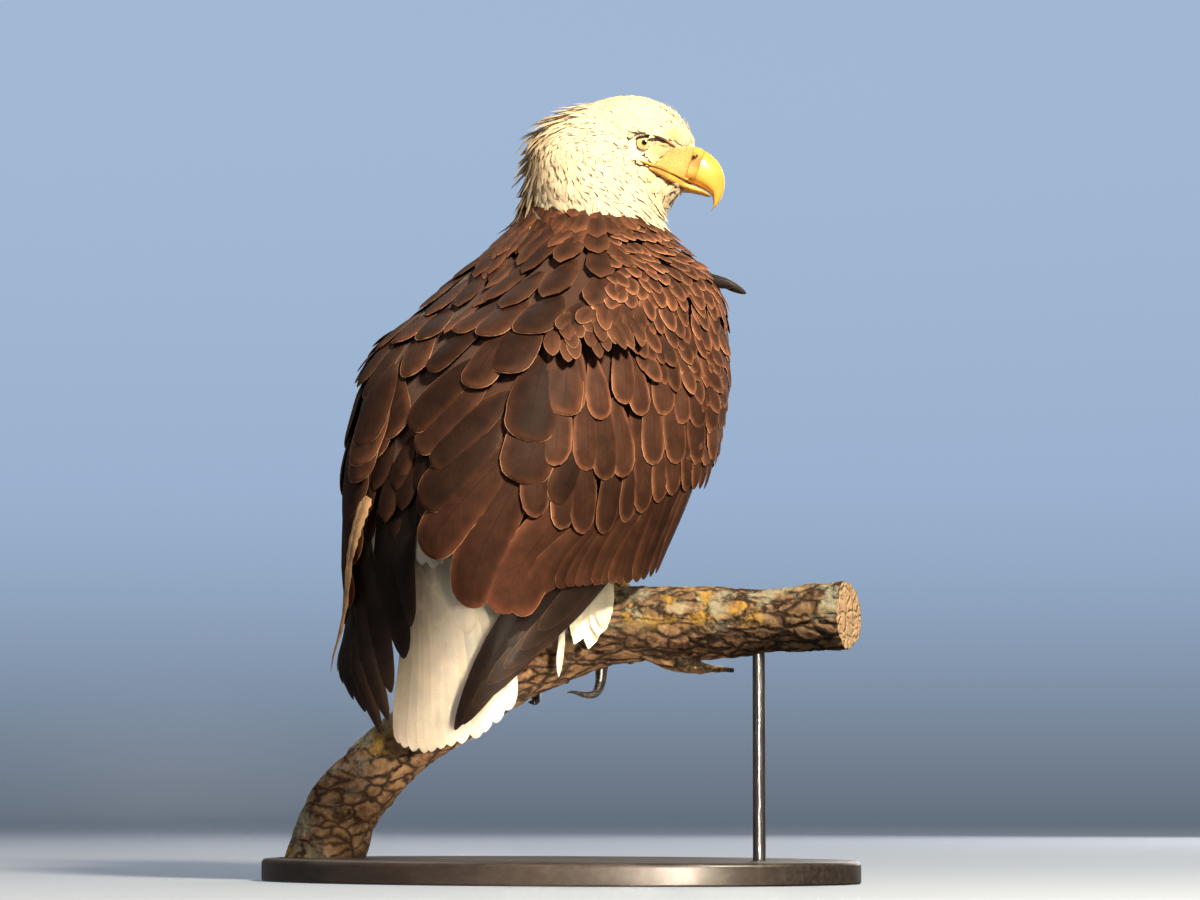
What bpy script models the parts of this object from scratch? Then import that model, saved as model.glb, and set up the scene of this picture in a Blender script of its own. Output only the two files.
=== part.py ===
"""Bald eagle gripping a cut length of branch, on a plain oval display base, life size.

Metres, +Z up. The bird faces -Y, its right side is -X, and the origin is under the
middle of the base. The head is turned 45 degrees to the bird's right.
"""
import math

import bmesh
import bpy
import numpy as np
from mathutils import Matrix, Vector

GAP = 0.00035  # clearance between neighbouring pieces

# Folded plumage: height, axis y, half width, front y, rear y, section power
PLUMAGE = [
    (0.100, 0.070, 0.092, -0.020, 0.166, 3.0),
    (0.200, 0.070, 0.105, -0.030, 0.180, 3.0),
    (0.250, 0.065, 0.112, -0.052, 0.197, 3.0),
    (0.300, 0.060, 0.125, -0.078, 0.213, 3.0),
    (0.342, 0.045, 0.138, -0.099, 0.213, 3.1),
    (0.385, 0.030, 0.150, -0.119, 0.205, 3.2),
    (0.4275, 0.020, 0.154, -0.131, 0.191, 3.2),
    (0.470, 0.012, 0.155, -0.138, 0.174, 3.2),
    (0.513, 0.002, 0.150, -0.140, 0.142, 3.1),
    (0.551, -0.028, 0.138, -0.139, 0.099, 3.0),
    (0.575, -0.041, 0.122, -0.135, 0.074, 2.9),
    (0.5985, -0.045, 0.096, -0.125, 0.053, 2.6),
    (0.620, -0.048, 0.077, -0.119, 0.034, 2.3),
    (0.640, -0.052, 0.066, -0.117, 0.018, 2.2),
]
# Underside of the body: height, half width, front y, rear y
BELLY = [
    (0.289, 0.030, 0.030, 0.140),
    (0.297, 0.055, 0.010, 0.160),
    (0.312, 0.078, -0.015, 0.180),
    (0.332, 0.098, -0.050, 0.190),
    (0.352, 0.112, -0.080, 0.196),
    (0.378, 0.130, -0.112, 0.200),
    (0.400, 0.190, -0.180, 0.260),
]
TRUNK_INSET = 0.002
TRUNK_TOP = 0.612
TRUNK_AROUND, TRUNK_ROWS = 26, 15

# Folded wings, by the turn in degrees from the middle of the back round to the front
WING_BACK, WING_FRONT = 8.0, 138.0
WING_COLUMNS, WING_ROWS = 25, 8
WING_TOP = [(8, 0.388), (25, 0.408), (45, 0.440), (65, 0.488), (90, 0.550), (115, 0.586),
            (132, 0.578), (138, 0.562)]
WING_LOW = {
    -1: [(8, 0.324), (17.5, 0.284), (22, 0.256), (30, 0.246), (48, 0.245), (65, 0.264),
         (87, 0.273), (120, 0.280), (132, 0.286), (138, 0.320)],
    1: [(8, 0.330), (17.5, 0.318), (30, 0.292), (48, 0.262), (65, 0.258), (87, 0.268),
        (120, 0.283), (132, 0.290), (138, 0.320)],
}
WING_RIM, WING_SHEET, WING_DEPTH = 0.0035, 0.0055, 0.027
FEATHER_TIPS = 0.008  # depth of the notches between the flight feathers
# How far the left wing hangs clear of the body: height, distance outward
LOOSE = [(0.090, 0.020), (0.140, 0.031), (0.200, 0.042), (0.240, 0.027), (0.285, 0.011),
         (0.325, 0.002), (0.350, 0.0), (0.400, 0.0)]

# Primary bundles: turn in degrees, height, half width
PRIMARIES = {
    -1: [(83, 0.292, 0.022), (69, 0.254, 0.030), (51, 0.205, 0.032), (33, 0.162, 0.026),
         (21, 0.136, 0.014), (14, 0.123, 0.005)],
    1: [(48, 0.322, 0.036), (40, 0.290, 0.044), (33, 0.254, 0.050), (28, 0.214, 0.047),
        (27, 0.174, 0.031), (26, 0.146, 0.011)],
}
PRIMARY_HALF_THICKNESS = 0.0026

# Tail: height, front y, rear y of its thickness
TAIL_SIDES = [(0.110, 0.1370, 0.1440), (0.160, 0.1350, 0.1445), (0.220, 0.128, 0.148),
              (0.260, 0.117, 0.157), (0.300, 0.102, 0.174), (0.325, 0.096, 0.184)]
TAIL_TOP, TAIL_ROOT_WIDTH, TAIL_TIP_WIDTH = 0.325, 0.040, 0.089

# Neck and head stations in the head's own upright plane, from nape to throat:
# forward and height of the nape or crown, forward and height of the throat, half width,
# and how far the section has turned towards the bird's right
HEAD_PLANE = -0.034
NECK = [
    (-0.0380, 0.6125, 0.1010, 0.6125, 0.078, 0), (-0.0330, 0.6260, 0.0980, 0.6205, 0.075, 8),
    (-0.0300, 0.6520, 0.0975, 0.6300, 0.070, 20), (-0.0280, 0.6780, 0.1000, 0.6375, 0.064, 31),
    (-0.0240, 0.7010, 0.1045, 0.6435, 0.059, 40), (-0.0120, 0.7205, 0.1088, 0.6480, 0.054, 45),
]
HEAD = [
    (-0.0120, 0.7205, 0.1088, 0.6480, 0.054, 45), (0.0120, 0.7370, 0.1120, 0.6510, 0.048, 45),
    (0.0350, 0.7455, 0.1144, 0.6532, 0.044, 45), (0.0560, 0.7510, 0.1160, 0.6547, 0.041, 45),
    (0.0780, 0.7515, 0.1172, 0.6557, 0.038, 45), (0.0970, 0.7460, 0.1180, 0.6564, 0.035, 45),
    (0.1125, 0.7370, 0.1186, 0.6570, 0.031, 45), (0.1235, 0.7245, 0.1190, 0.6575, 0.026, 45),
    (0.1303, 0.7128, 0.1194, 0.6580, 0.021, 45), (0.1340, 0.7035, 0.1197, 0.6584, 0.0175, 45),
]
HEAD_AROUND = 24

EYE = (0.0828, 0.7020)  # forward and height of the eyeballs' centres
EYE_SPREAD, EYE_RADIUS = 0.0255, 0.0118
SOCKET_SPREAD, SOCKET_RADIUS = 0.0405, 0.0165

# Bill: a culmen arc and, for each angle on it, the cutting edge below and the half width
CULMEN = (0.1269, 0.6682, 0.0341)
BILL_EDGE = [(-52.4, 0.1476, 0.6414, 0.0009), (-42, 0.1492, 0.6440, 0.0028),
             (-30, 0.1498, 0.6468, 0.0045), (-10, 0.1494, 0.6530, 0.0072),
             (10, 0.1474, 0.6572, 0.0096), (30, 0.1419, 0.6614, 0.0122),
             (50, 0.1354, 0.6647, 0.0140), (64, 0.1310, 0.6666, 0.0148)]
CERE_START = (0.1338, 0.7022, 0.1234, 0.6690)
LOWER_BILL = [(0.1199, 0.6592, 0.1232, 0.6674, 0.0125), (0.1278, 0.6586, 0.1304, 0.6649, 0.0112),
              (0.1366, 0.6568, 0.1383, 0.6615, 0.0088), (0.1432, 0.6550, 0.1439, 0.6579, 0.0063),
              (0.1470, 0.6545, 0.1470, 0.6555, 0.0025)]

# Branch: run along its plan line, height and radius of its centre line
BRANCH_HEADING = (-0.9397, -0.3422)
BRANCH = [(-0.258, -0.015, 0.0370), (-0.243, 0.031, 0.0360), (-0.231, 0.061, 0.0350),
          (-0.201, 0.096, 0.0335), (-0.171, 0.1245, 0.0318), (-0.107, 0.165, 0.0315),
          (-0.044, 0.2014, 0.0325), (0.003, 0.2233, 0.0340), (0.045, 0.2385, 0.0358),
          (0.087, 0.2413, 0.0363), (0.150, 0.2413, 0.0340), (0.213, 0.2423, 0.0308),
          (0.298, 0.2470, 0.0300)]
BRANCH_STATIONS, BRANCH_AROUND = 24, 12
ALONG = np.array([*BRANCH_HEADING, 0.0])
SNAG = [(0.104, 0.222, 0.018), (0.125, 0.208, 0.0125), (0.146, 0.2005, 0.0075),
        (0.160, 0.199, 0.0040), (0.182, 0.1975, 0.0022)]

# Feet: run of the foot along the branch, then for each toe its run at the root, at the
# toe's end and at the claw's tip, the wrap in degrees at the same three places, the claw
# tip's distance off the bark and how far the claw arches out
FOOT_RUN = {"right": 0.045, "left": -0.045}
TOES = {
    "right": [(0.039, 0.025, -0.006, 12, 124, 182, 0.011, 0.015),
              (0.046, 0.056, 0.061, 12, 108, 148, 0.003, 0.006),
              (0.051, 0.079, 0.087, 12, 90, 130, 0.003, 0.006),
              (0.045, 0.040, 0.037, -12, -72, -116, 0.003, 0.006)],
    "left": [(-0.040, -0.022, -0.015, 12, 100, 142, 0.003, 0.006),
             (-0.046, -0.050, -0.053, 12, 110, 150, 0.003, 0.006),
             (-0.051, -0.076, -0.084, 12, 92, 132, 0.003, 0.006),
             (-0.045, -0.041, -0.038, -12, -72, -116, 0.003, 0.006)],
}
TOE_RADII = (0.0085, 0.0062)
CLAW_RADIUS = 0.0058
LEG = {  # half width, then centre x, y, z down the feathered thigh
    "right": [(0.056, -0.060, -0.040, 0.400), (0.050, -0.057, -0.045, 0.362),
              (0.041, -0.051, -0.038, 0.332), (0.029, -0.045, -0.024, 0.3075),
              (0.020, -0.0426, -0.017, 0.2950)],
    "left": [(0.056, 0.060, -0.040, 0.400), (0.050, 0.057, -0.045, 0.358),
             (0.040, 0.051, -0.034, 0.318), (0.028, 0.045, -0.008, 0.282),
             (0.018, 0.0424, 0.012, 0.2580)],
}

BASE = (0.300, 0.190, 0.021)  # half length, half width, thickness
BASE_TURN = math.radians(20.0)
ROD_RADIUS, ROD_RUN, ROD_DEPTH = 0.006, 0.208, 0.012
DOWEL_RADIUS, DOWEL_RUN = 0.005, -0.236

CREAM = (0.83, 0.79, 0.68)
BROWN = (0.12, 0.070, 0.042)
DARK = (0.045, 0.032, 0.027)
YELLOW = (0.86, 0.56, 0.10)
HORN = (0.03, 0.028, 0.027)
IRIS = (0.80, 0.70, 0.34)
BARK = (0.23, 0.18, 0.13)
EBONY = (0.05, 0.045, 0.04)
STEEL = (0.35, 0.35, 0.36)


def smooth(table, at):
    """Cubic Hermite through a table whose first column rises; returns one row per value."""
    table = np.asarray(table, float)
    station, values = table[:, 0], table[:, 1:]
    slopes = np.gradient(values, station, axis=0)
    at = np.atleast_1d(np.asarray(at, float))
    low = np.clip(np.searchsorted(station, at) - 1, 0, len(station) - 2)
    width = (station[low + 1] - station[low])[:, None]
    s = np.clip((at - station[low]) / width[:, 0], 0, 1)[:, None]
    start = values[low] * (2 * s**3 - 3 * s**2 + 1) + slopes[low] * width * (s**3 - 2 * s**2 + s)
    end = values[low + 1] * (3 * s**2 - 2 * s**3) + slopes[low + 1] * width * (s**3 - s**2)
    return start + end


def ease(value):
    """Smooth step from 0 to 1."""
    value = np.clip(value, 0, 1)
    return value * value * (3 - 2 * value)


def unit(vector):
    return np.asarray(vector, float) / np.linalg.norm(vector)


def clear_scene():
    for item in list(bpy.data.objects):
        bpy.data.objects.remove(item, do_unlink=True)


def new_collection(name):
    collection = bpy.data.collections.new(name)
    bpy.context.scene.collection.children.link(collection)
    return collection


def make_finish(name, colour, roughness, metallic=0.0):
    """A Principled material of one colour."""
    material = bpy.data.materials.new(name)
    material.use_nodes = True
    shader = material.node_tree.nodes["Principled BSDF"]
    shader.inputs["Base Color"].default_value = (*colour, 1.0)
    shader.inputs["Roughness"].default_value = roughness
    shader.inputs["Metallic"].default_value = metallic
    material.diffuse_color = (*colour, 1.0)
    return material


def add_mesh(name, mesh_data, where, colour=None, roughness=0.7, metallic=0.0):
    """Turn a bmesh into a smooth-shaded object in a collection; no colour makes a cutter."""
    bmesh.ops.triangulate(mesh_data, faces=mesh_data.faces, quad_method="FIXED")
    bmesh.ops.recalc_face_normals(mesh_data, faces=mesh_data.faces)
    mesh = bpy.data.meshes.new(name)
    mesh_data.to_mesh(mesh)
    mesh_data.free()
    item = bpy.data.objects.new(name, mesh)
    where.objects.link(item)
    if colour is None:
        item.hide_render = True
        item.display_type = "WIRE"
    else:
        mesh.materials.append(make_finish(name, colour, roughness, metallic))
    mesh.shade_smooth()
    mesh.set_sharp_from_angle(angle=math.radians(45))
    return item


def loft(rings, ladder=False):
    """A closed skin through rings of equal length. The end rings are closed to their
    middles, or rung by rung when a ring runs out along one side and back along the other."""
    rings = np.asarray(rings, float)
    count, around = rings.shape[:2]
    skin = bmesh.new()
    rows = [[skin.verts.new(point) for point in ring] for ring in rings]
    for low, high in zip(rows, rows[1:]):
        for k in range(around):
            j = (k + 1) % around
            skin.faces.new((low[k], low[j], high[j], high[k]))
    for row, ring in ((rows[0], rings[0]), (rows[-1], rings[-1])):
        if ladder:
            for k in range(around // 2 - 1):
                skin.faces.new((row[k], row[k + 1], row[around - 2 - k], row[around - 1 - k]))
        else:
            middle = skin.verts.new(ring.mean(axis=0))
            for k in range(around):
                skin.faces.new((row[k], row[(k + 1) % around], middle))
    return skin


def section(centre, side, upward, half_width, above, below, power, around):
    """A superellipse ring whose upper and lower halves may differ in height."""
    turn = np.arange(around) * math.tau / around
    up, across = np.cos(turn), np.sin(turn)
    reach = np.where(up >= 0, above, below)
    radius = ((np.abs(up) / reach) ** power + (np.abs(across) / half_width) ** power) ** (-1 / power)
    return (np.asarray(centre) + (radius * up)[:, None] * np.asarray(upward)
            + (radius * across)[:, None] * np.asarray(side))


def combine(item, other, operation):
    """Boolean on an item; the other object is a helper that isn't rendered."""
    change = item.modifiers.new(other.name, "BOOLEAN")
    change.operation = operation
    change.solver = "EXACT"
    change.object = other


def polar(table, height, turn, power):
    """Radius about the body's axis of a table's section at each height and turn."""
    centre = smooth(PLUMAGE, height)[:, 0]
    width, front, rear = table
    along, across = np.cos(turn), np.abs(np.sin(turn))
    reach = np.where(along >= 0, rear - centre, centre - front)
    return ((np.abs(along) / reach) ** power + (across / width) ** power) ** (-1 / power)


def plumage_radius(height, turn):
    centre, width, front, rear, power = smooth(PLUMAGE, height).T
    return polar((width, front, rear), height, turn, power)


def on_plumage(height, turn, inward, side):
    """Points at a depth under the folded plumage, with a loose wing swung outward."""
    height, turn = np.broadcast_arrays(np.atleast_1d(height).astype(float), turn)
    radius = plumage_radius(height, turn) - inward
    if side > 0:
        radius = radius + smooth(LOOSE, height)[:, 0] * ease((turn - 0.05) / 0.8)
    axis = smooth(PLUMAGE, height)[:, 0]
    return np.column_stack([side * radius * np.sin(turn), axis + radius * np.cos(turn), height])


def trunk_rings(grow):
    """Breast, belly and back under the wings."""
    heights = np.linspace(BELLY[0][0] - grow, TRUNK_TOP + min(grow, 0), TRUNK_ROWS)
    turn = np.arange(TRUNK_AROUND) * math.tau / TRUNK_AROUND
    rings = []
    for height in heights:
        level = np.full(TRUNK_AROUND, max(height, BELLY[0][0]))
        outer = plumage_radius(level, turn) - TRUNK_INSET
        width, front, rear = smooth(BELLY, level).T
        under = polar((width, front, rear), level, turn, 2.3)
        radius = (np.minimum(outer, under) if height < BELLY[-1][0] else outer) + grow
        axis = smooth(PLUMAGE, level)[:, 0]
        rings.append(np.column_stack([radius * np.sin(turn), axis + radius * np.cos(turn),
                                      np.full(TRUNK_AROUND, height)]))
    return rings


def wing_rings(side, grow):
    """A shell over the trunk from the scapulars to the flight feathers' tips. A grown one
    is the space to clear for it, and also stands 4 mm proud of the plumage."""
    degrees = np.linspace(WING_BACK, WING_FRONT, WING_COLUMNS)
    notch = FEATHER_TIPS * np.abs(np.cos(np.arange(WING_COLUMNS) * math.pi / 3))
    low = smooth(WING_LOW[side], degrees)[:, 0] + notch - grow
    high = smooth(WING_TOP, degrees)[:, 0] + grow
    rings = []
    for column, (angle, top, bottom) in enumerate(zip(degrees, high, low)):
        turn = math.radians(angle)
        if column in (0, WING_COLUMNS - 1):
            turn += (1 if column else -1) * grow / 0.12
        height = top + (bottom - top) * np.linspace(0, 1, WING_ROWS) ** 1.4
        across = (angle - WING_BACK) / (WING_FRONT - WING_BACK)
        middle = ease(min(across, 1 - across) / 0.2) * ease((top - height) / 0.08)
        thick = ease((height - 0.335) / 0.07)
        depth = WING_RIM + middle * (WING_SHEET - WING_RIM + thick * (WING_DEPTH - WING_SHEET))
        outer = on_plumage(height, turn, -grow - (0.004 if grow else 0), side)
        inner = on_plumage(height, turn, depth + grow, side)
        rings.append(np.vstack([outer, inner[::-1]]))
    return rings


def primary_rings(side):
    """Bundle of long feathers that runs down from under a wing."""
    path = np.array(PRIMARIES[side], float)
    stations = np.linspace(0, 1, 12)
    fraction = np.linspace(0, 1, len(path))
    turn, height, width = smooth(np.column_stack([fraction, path]), stations).T
    turn = np.radians(turn)
    metric = np.column_stack([turn * 0.12, height])
    heading = np.gradient(metric, axis=0)
    heading /= np.linalg.norm(heading, axis=1)[:, None]
    around = np.arange(10) * math.tau / 10
    rings = []
    for t, z, w, (run, fall) in zip(turn, height, width, heading):
        out = w * np.cos(around)
        tuck = 0.0032 + 0.0062 * ease((z - 0.195) / 0.05)
        inward = tuck - PRIMARY_HALF_THICKNESS * np.sin(around)
        rings.append(on_plumage(z + out * run, t - out * fall / 0.12, inward, side))
    return rings


def tail_rings():
    """Fanned tail with its coverts, a thick wedge at the root and a thin rounded tip."""
    around = np.arange(14) * math.tau / 14
    spread, face = np.cos(around), np.sin(around)
    tip = 0.118 + 0.030 * spread**2 - 0.0145 * spread
    rings = []
    for part in np.linspace(0, 1, 9):
        height = TAIL_TOP + (tip - TAIL_TOP) * part
        width = TAIL_ROOT_WIDTH + (TAIL_TIP_WIDTH - TAIL_ROOT_WIDTH) * part**1.1
        front, rear = smooth(TAIL_SIDES, height).T
        thick = np.sign(face) * np.abs(face) ** 0.6 * (rear - front) / 2
        rings.append(np.column_stack([width * spread, (front + rear) / 2 + thick
                                      - 0.006 * spread**2, height]))
    return rings


def head_point(forward, height, lateral=0.0):
    """A point in the turned head's plane, or beside it towards the bird's right rear."""
    depth = HEAD_PLANE + lateral
    half = math.sqrt(0.5)
    return np.array([-half * (forward + depth), -half * (forward - depth), height])


def head_rings(stations, start_gap, end_gap):
    """Sections fanned from the nape over the crown to the face."""
    rings = []
    for place, (top_f, top_z, low_f, low_z, width, yaw) in enumerate(stations):
        top, low = head_point(top_f, top_z), head_point(low_f, low_z)
        yaw = math.radians(yaw)
        pitch = math.atan2(top_z - low_z, low_f - top_f)
        facing = np.array([-math.sin(yaw), -math.cos(yaw), 0.0])
        upward = -math.cos(pitch) * facing + np.array([0, 0, math.sin(pitch)])
        ahead = math.sin(pitch) * facing + np.array([0, 0, math.cos(pitch)])
        side = np.cross(ahead, upward)
        half = np.linalg.norm(top - low) / 2
        shift = {0: start_gap, len(stations) - 1: -end_gap}.get(place, 0.0)
        centre = (top + low) / 2 + ahead * shift
        rings.append(section(centre, side, upward, width, half, half, 2.15, HEAD_AROUND))
    return rings


def bill_section(top, low, width, share=0.28, around=12):
    """A ring of the bill between a ridge point and an edge point, both in the head's plane."""
    top, low = head_point(*top), head_point(*low)
    side = head_point(0, 0, 1) - head_point(0, 0, 0)
    length = np.linalg.norm(top - low)
    return section(low + (top - low) * share, side, unit(top - low), width,
                   length * (1 - share), length * share, 2.4, around)


def culmen(angle):
    forward, height, radius = CULMEN
    return (forward + radius * math.cos(math.radians(angle)),
            height + radius * math.sin(math.radians(angle)))


def upper_bill_rings():
    angles = (63, 52, 40, 28, 15, 2, -12, -25, -36, -45, -51.5)
    edge = smooth(BILL_EDGE, angles)
    return [bill_section(culmen(a), (e[0], e[1]), e[2]) for a, e in zip(angles, edge)]


def cere_rings():
    ridge_f, ridge_z, edge_f, edge_z = CERE_START
    last = smooth(BILL_EDGE, 64)[0]
    rise = culmen(64)
    step = 0.0007
    middle = ((ridge_f + rise[0]) / 2, (ridge_z + rise[1]) / 2 + 0.0006)
    return [bill_section((ridge_f + step, ridge_z), (edge_f + step, edge_z), 0.0162),
            bill_section(middle, ((edge_f + last[0]) / 2 + 0.0004, (edge_z + last[1]) / 2), 0.0160),
            bill_section((rise[0] - 0.0003, rise[1] + 0.0001), (last[0] - 0.0004, last[1]), 0.0151)]


def lower_bill_rings():
    return [bill_section((top_f + 0.0005, top_z), (low_f + 0.0005, low_z), width, 0.55, 12)
            for low_f, low_z, top_f, top_z, width in LOWER_BILL]


def branch_frame(run):
    """Centre, direction along the branch, horizontal front normal, upward normal, radius."""
    height, radius = smooth(BRANCH, run)[0]
    ahead_z = smooth(BRANCH, run + 0.002)[0][0] - smooth(BRANCH, run - 0.002)[0][0]
    heading = np.array([*BRANCH_HEADING, 0.0])
    along = unit(heading * 0.004 + np.array([0, 0, ahead_z]))
    front = np.array([-BRANCH_HEADING[1], BRANCH_HEADING[0], 0.0])
    upward = np.cross(front, along)
    upward = upward if upward[2] > 0 else -upward
    return heading * run + np.array([0, 0, height]), along, front, upward, radius


def branch_rings(grow):
    """Cut branch with shallow swellings and ridges."""
    around = np.arange(BRANCH_AROUND) * math.tau / BRANCH_AROUND
    rings = []
    for run in np.linspace(BRANCH[0][0], BRANCH[-1][0] + grow, BRANCH_STATIONS):
        centre, _, front, upward, radius = branch_frame(run)
        ridge = (0.030 * np.sin(3 * around + 9 * run) + 0.022 * np.sin(5 * around - 14 * run + 1)
                 + 0.025 * math.sin(47 * run + 0.5))
        reach = radius * (1 + ridge) + grow
        rings.append(centre + (reach * np.cos(around))[:, None] * upward
                     + (reach * np.sin(around))[:, None] * front)
    return rings


def tube_rings(points, radii, around, guide=(0.0, 0.0, 1.0), first=None):
    """Round sections along a path, upright to it; first sets the first section's heading."""
    points = np.asarray(points, float)
    heading = np.gradient(points, axis=0)
    heading[0] = heading[0] if first is None else first
    turn = np.arange(around) * math.tau / around
    rings = []
    for point, ahead, radius in zip(points, heading, radii):
        ahead = unit(ahead)
        side = unit(np.cross(ahead, guide))
        upward = np.cross(side, ahead)
        rings.append(point + radius * (np.cos(turn)[:, None] * upward
                                       + np.sin(turn)[:, None] * side))
    return rings


def wrap_point(run, degrees, off_bark):
    """A point over the bark: degrees from the top of the branch towards the bird's front."""
    centre, _, front, upward, radius = branch_frame(run)
    angle = math.radians(degrees)
    return centre + (radius + off_bark) * (math.cos(angle) * upward + math.sin(angle) * front)


def toe_path(toe):
    """Centre line and radii of a toe that wraps the branch, swollen at its joints."""
    root, end, _, wrap, wrap_end = toe[:5]
    part = np.linspace(0, 1, 7)
    radii = (TOE_RADII[0] + (TOE_RADII[1] - TOE_RADII[0]) * part) * (1 + 0.07 * np.cos(part * 18))
    points = [wrap_point(root + (end - root) * p**1.2, wrap + (wrap_end - wrap) * p, r + 0.0006)
              for p, r in zip(part, radii)]
    return np.array(points), radii


def claw_rings(toe):
    """A curved talon from the toe's end, arching off the bark and back to it."""
    toe_points, _ = toe_path(toe)
    ahead = unit(toe_points[-1] - toe_points[-2])
    _, end, tip, _, wrap_end, wrap_tip, tip_off, arch = toe
    sign = math.copysign(1, wrap_end)
    part = np.linspace(0, 1, 6)
    radii = CLAW_RADIUS * (1 - part**1.4) + 0.0007
    start = wrap_end + sign * 1.0
    points = [wrap_point(end + (tip - end) * p, start + (wrap_tip - start) * p,
                         TOE_RADII[1] + 0.0006 + arch * math.sin(math.pi * p) ** 2
                         + (tip_off - TOE_RADII[1]) * p**2)
              for p in part]
    points[0] = toe_points[-1] + ahead * GAP
    return tube_rings(points, radii, 7, ALONG, ahead)


def tarsus_rings(side):
    """Short bare shank from under the thigh feathers down to the toes' root."""
    top = LEG[side][-1]
    foot = wrap_point(FOOT_RUN[side], 2, 0.002)
    start = np.array([top[1], top[2], top[3] - GAP])
    levels = np.linspace(0, 1, 4)
    radii = (0.0105, 0.0100, 0.0125, 0.0150)
    turn = np.arange(10) * math.tau / 10
    ring = np.column_stack([np.cos(turn), np.sin(turn), np.zeros(10)])
    return [start + (foot - start) * level + radius * ring for level, radius in zip(levels, radii)]


def leg_rings(side):
    """Feathered thigh."""
    turn = np.arange(18) * math.tau / 18
    return [np.column_stack([x + 0.86 * radius * np.cos(turn), y + radius * np.sin(turn),
                             np.full(18, z)]) for radius, x, y, z in LEG[side]]


def build_trunk(parts, cutters):
    trunk = add_mesh("trunk", loft(trunk_rings(0)), parts, BROWN, 0.8)
    for side, label in ((-1, "right"), (1, "left")):
        pocket = add_mesh(f"pocket_{label}", loft(wing_rings(side, GAP), True), cutters)
        combine(trunk, pocket, "DIFFERENCE")


def build_wings(parts, cutters):
    """Both wings, and the primary bundles that come out under them."""
    for side, label in ((-1, "right"), (1, "left")):
        wing = add_mesh(f"wing_{label}", loft(wing_rings(side, 0), True), parts, BROWN, 0.75)
        tips = add_mesh(f"primaries_{label}", loft(primary_rings(side)), parts, DARK, 0.7)
        combine(tips, bpy.data.objects[f"pocket_{label}"], "DIFFERENCE")
        if side < 0:
            combine(wing, add_mesh("loose_feather", loft(loose_feather_rings()), cutters), "UNION")


def loose_feather_rings():
    """One dark feather that stands clear of the right shoulder."""
    root, tip = np.array([-0.1098, -0.1010, 0.5735]), np.array([-0.1335, -0.1235, 0.5625])
    ahead = unit(tip - root)
    outward = unit(np.array([-1.0, 1.0, 0.0]))
    upward = np.cross(ahead, outward)
    widths = (0.0040, 0.0062, 0.0058, 0.0036, 0.0006)
    return [section(root + (tip - root) * part, outward, upward, 0.0016, width, width, 2.0, 8)
            for part, width in zip(np.linspace(0, 1, 5), widths)]


def build_tail(parts, trunk_space):
    tail = add_mesh("tail", loft(tail_rings()), parts, CREAM, 0.7)
    combine(tail, trunk_space, "DIFFERENCE")


def build_head(parts, cutters):
    """Neck, head, bill and eyes."""
    add_mesh("neck", loft(head_rings(NECK, 0.0, GAP / 2)), parts, CREAM, 0.8)
    head = add_mesh("head", loft(head_rings(HEAD, GAP / 2, 0.0)), parts, CREAM, 0.8)
    for label, sign in (("right", 1), ("left", -1)):
        place = head_point(*EYE, sign * EYE_SPREAD)
        add_ball(f"eye_{label}", place, EYE_RADIUS, parts, IRIS)
        combine(head, add_ball(f"eyeball_space_{label}", place, EYE_RADIUS + 0.0005, cutters),
                "DIFFERENCE")
        hollow = head_point(*EYE, sign * SOCKET_SPREAD)
        combine(head, add_ball(f"socket_{label}", hollow, SOCKET_RADIUS, cutters, None, 10),
                "DIFFERENCE")
    add_mesh("cere", loft(cere_rings()), parts, YELLOW, 0.35)
    add_mesh("bill_upper", loft(upper_bill_rings()), parts, YELLOW, 0.3)
    add_mesh("bill_lower", loft(lower_bill_rings()), parts, YELLOW, 0.35)


def add_ball(name, place, radius, where, colour=None, around=12):
    ball = bmesh.new()
    bmesh.ops.create_uvsphere(ball, u_segments=around, v_segments=around * 2 // 3, radius=radius,
                              matrix=Matrix.Translation(Vector(place)))
    return add_mesh(name, ball, where, colour, 0.1)


def add_rod(name, place, radius, low, high, where, colour=None):
    rod = bmesh.new()
    middle = Vector((place[0], place[1], (low + high) / 2))
    bmesh.ops.create_cone(rod, cap_ends=True, segments=20, radius1=radius, radius2=radius,
                          depth=high - low, matrix=Matrix.Translation(middle))
    return add_mesh(name, rod, where, colour, 0.35, 0.9)


def build_legs(parts, cutters, trunk_space, bark_space):
    """Thighs, shanks with their toes, and the talons."""
    for side in ("right", "left"):
        leg = add_mesh(f"leg_{side}", loft(leg_rings(side)), parts, BROWN, 0.85)
        if side == "right":
            combine(leg, add_mesh("tuft", loft(tuft_rings()), cutters), "UNION")
        combine(leg, trunk_space, "DIFFERENCE")
        foot = add_mesh(f"foot_{side}", loft(tarsus_rings(side)), parts, YELLOW, 0.5)
        for number, toe in enumerate(TOES[side], 1):
            skin = add_mesh(f"toe_{side}_{number}", loft(tube_rings(*toe_path(toe), 7, ALONG)), cutters)
            combine(foot, skin, "UNION")
            claw = add_mesh(f"claw_{side}_{number}", loft(claw_rings(toe)), parts, HORN, 0.25)
            combine(claw, bark_space, "DIFFERENCE")
        combine(foot, bark_space, "DIFFERENCE")


def tuft_rings():
    """Loose white feathers that hang behind the right thigh."""
    points = [(-0.066, 0.000, 0.312), (-0.073, 0.012, 0.283), (-0.080, 0.024, 0.252),
              (-0.084, 0.031, 0.226), (-0.085, 0.033, 0.214)]
    return tube_rings(points, (0.016, 0.015, 0.011, 0.006, 0.0015), 10, (1.0, 0.0, 0.0))


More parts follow.
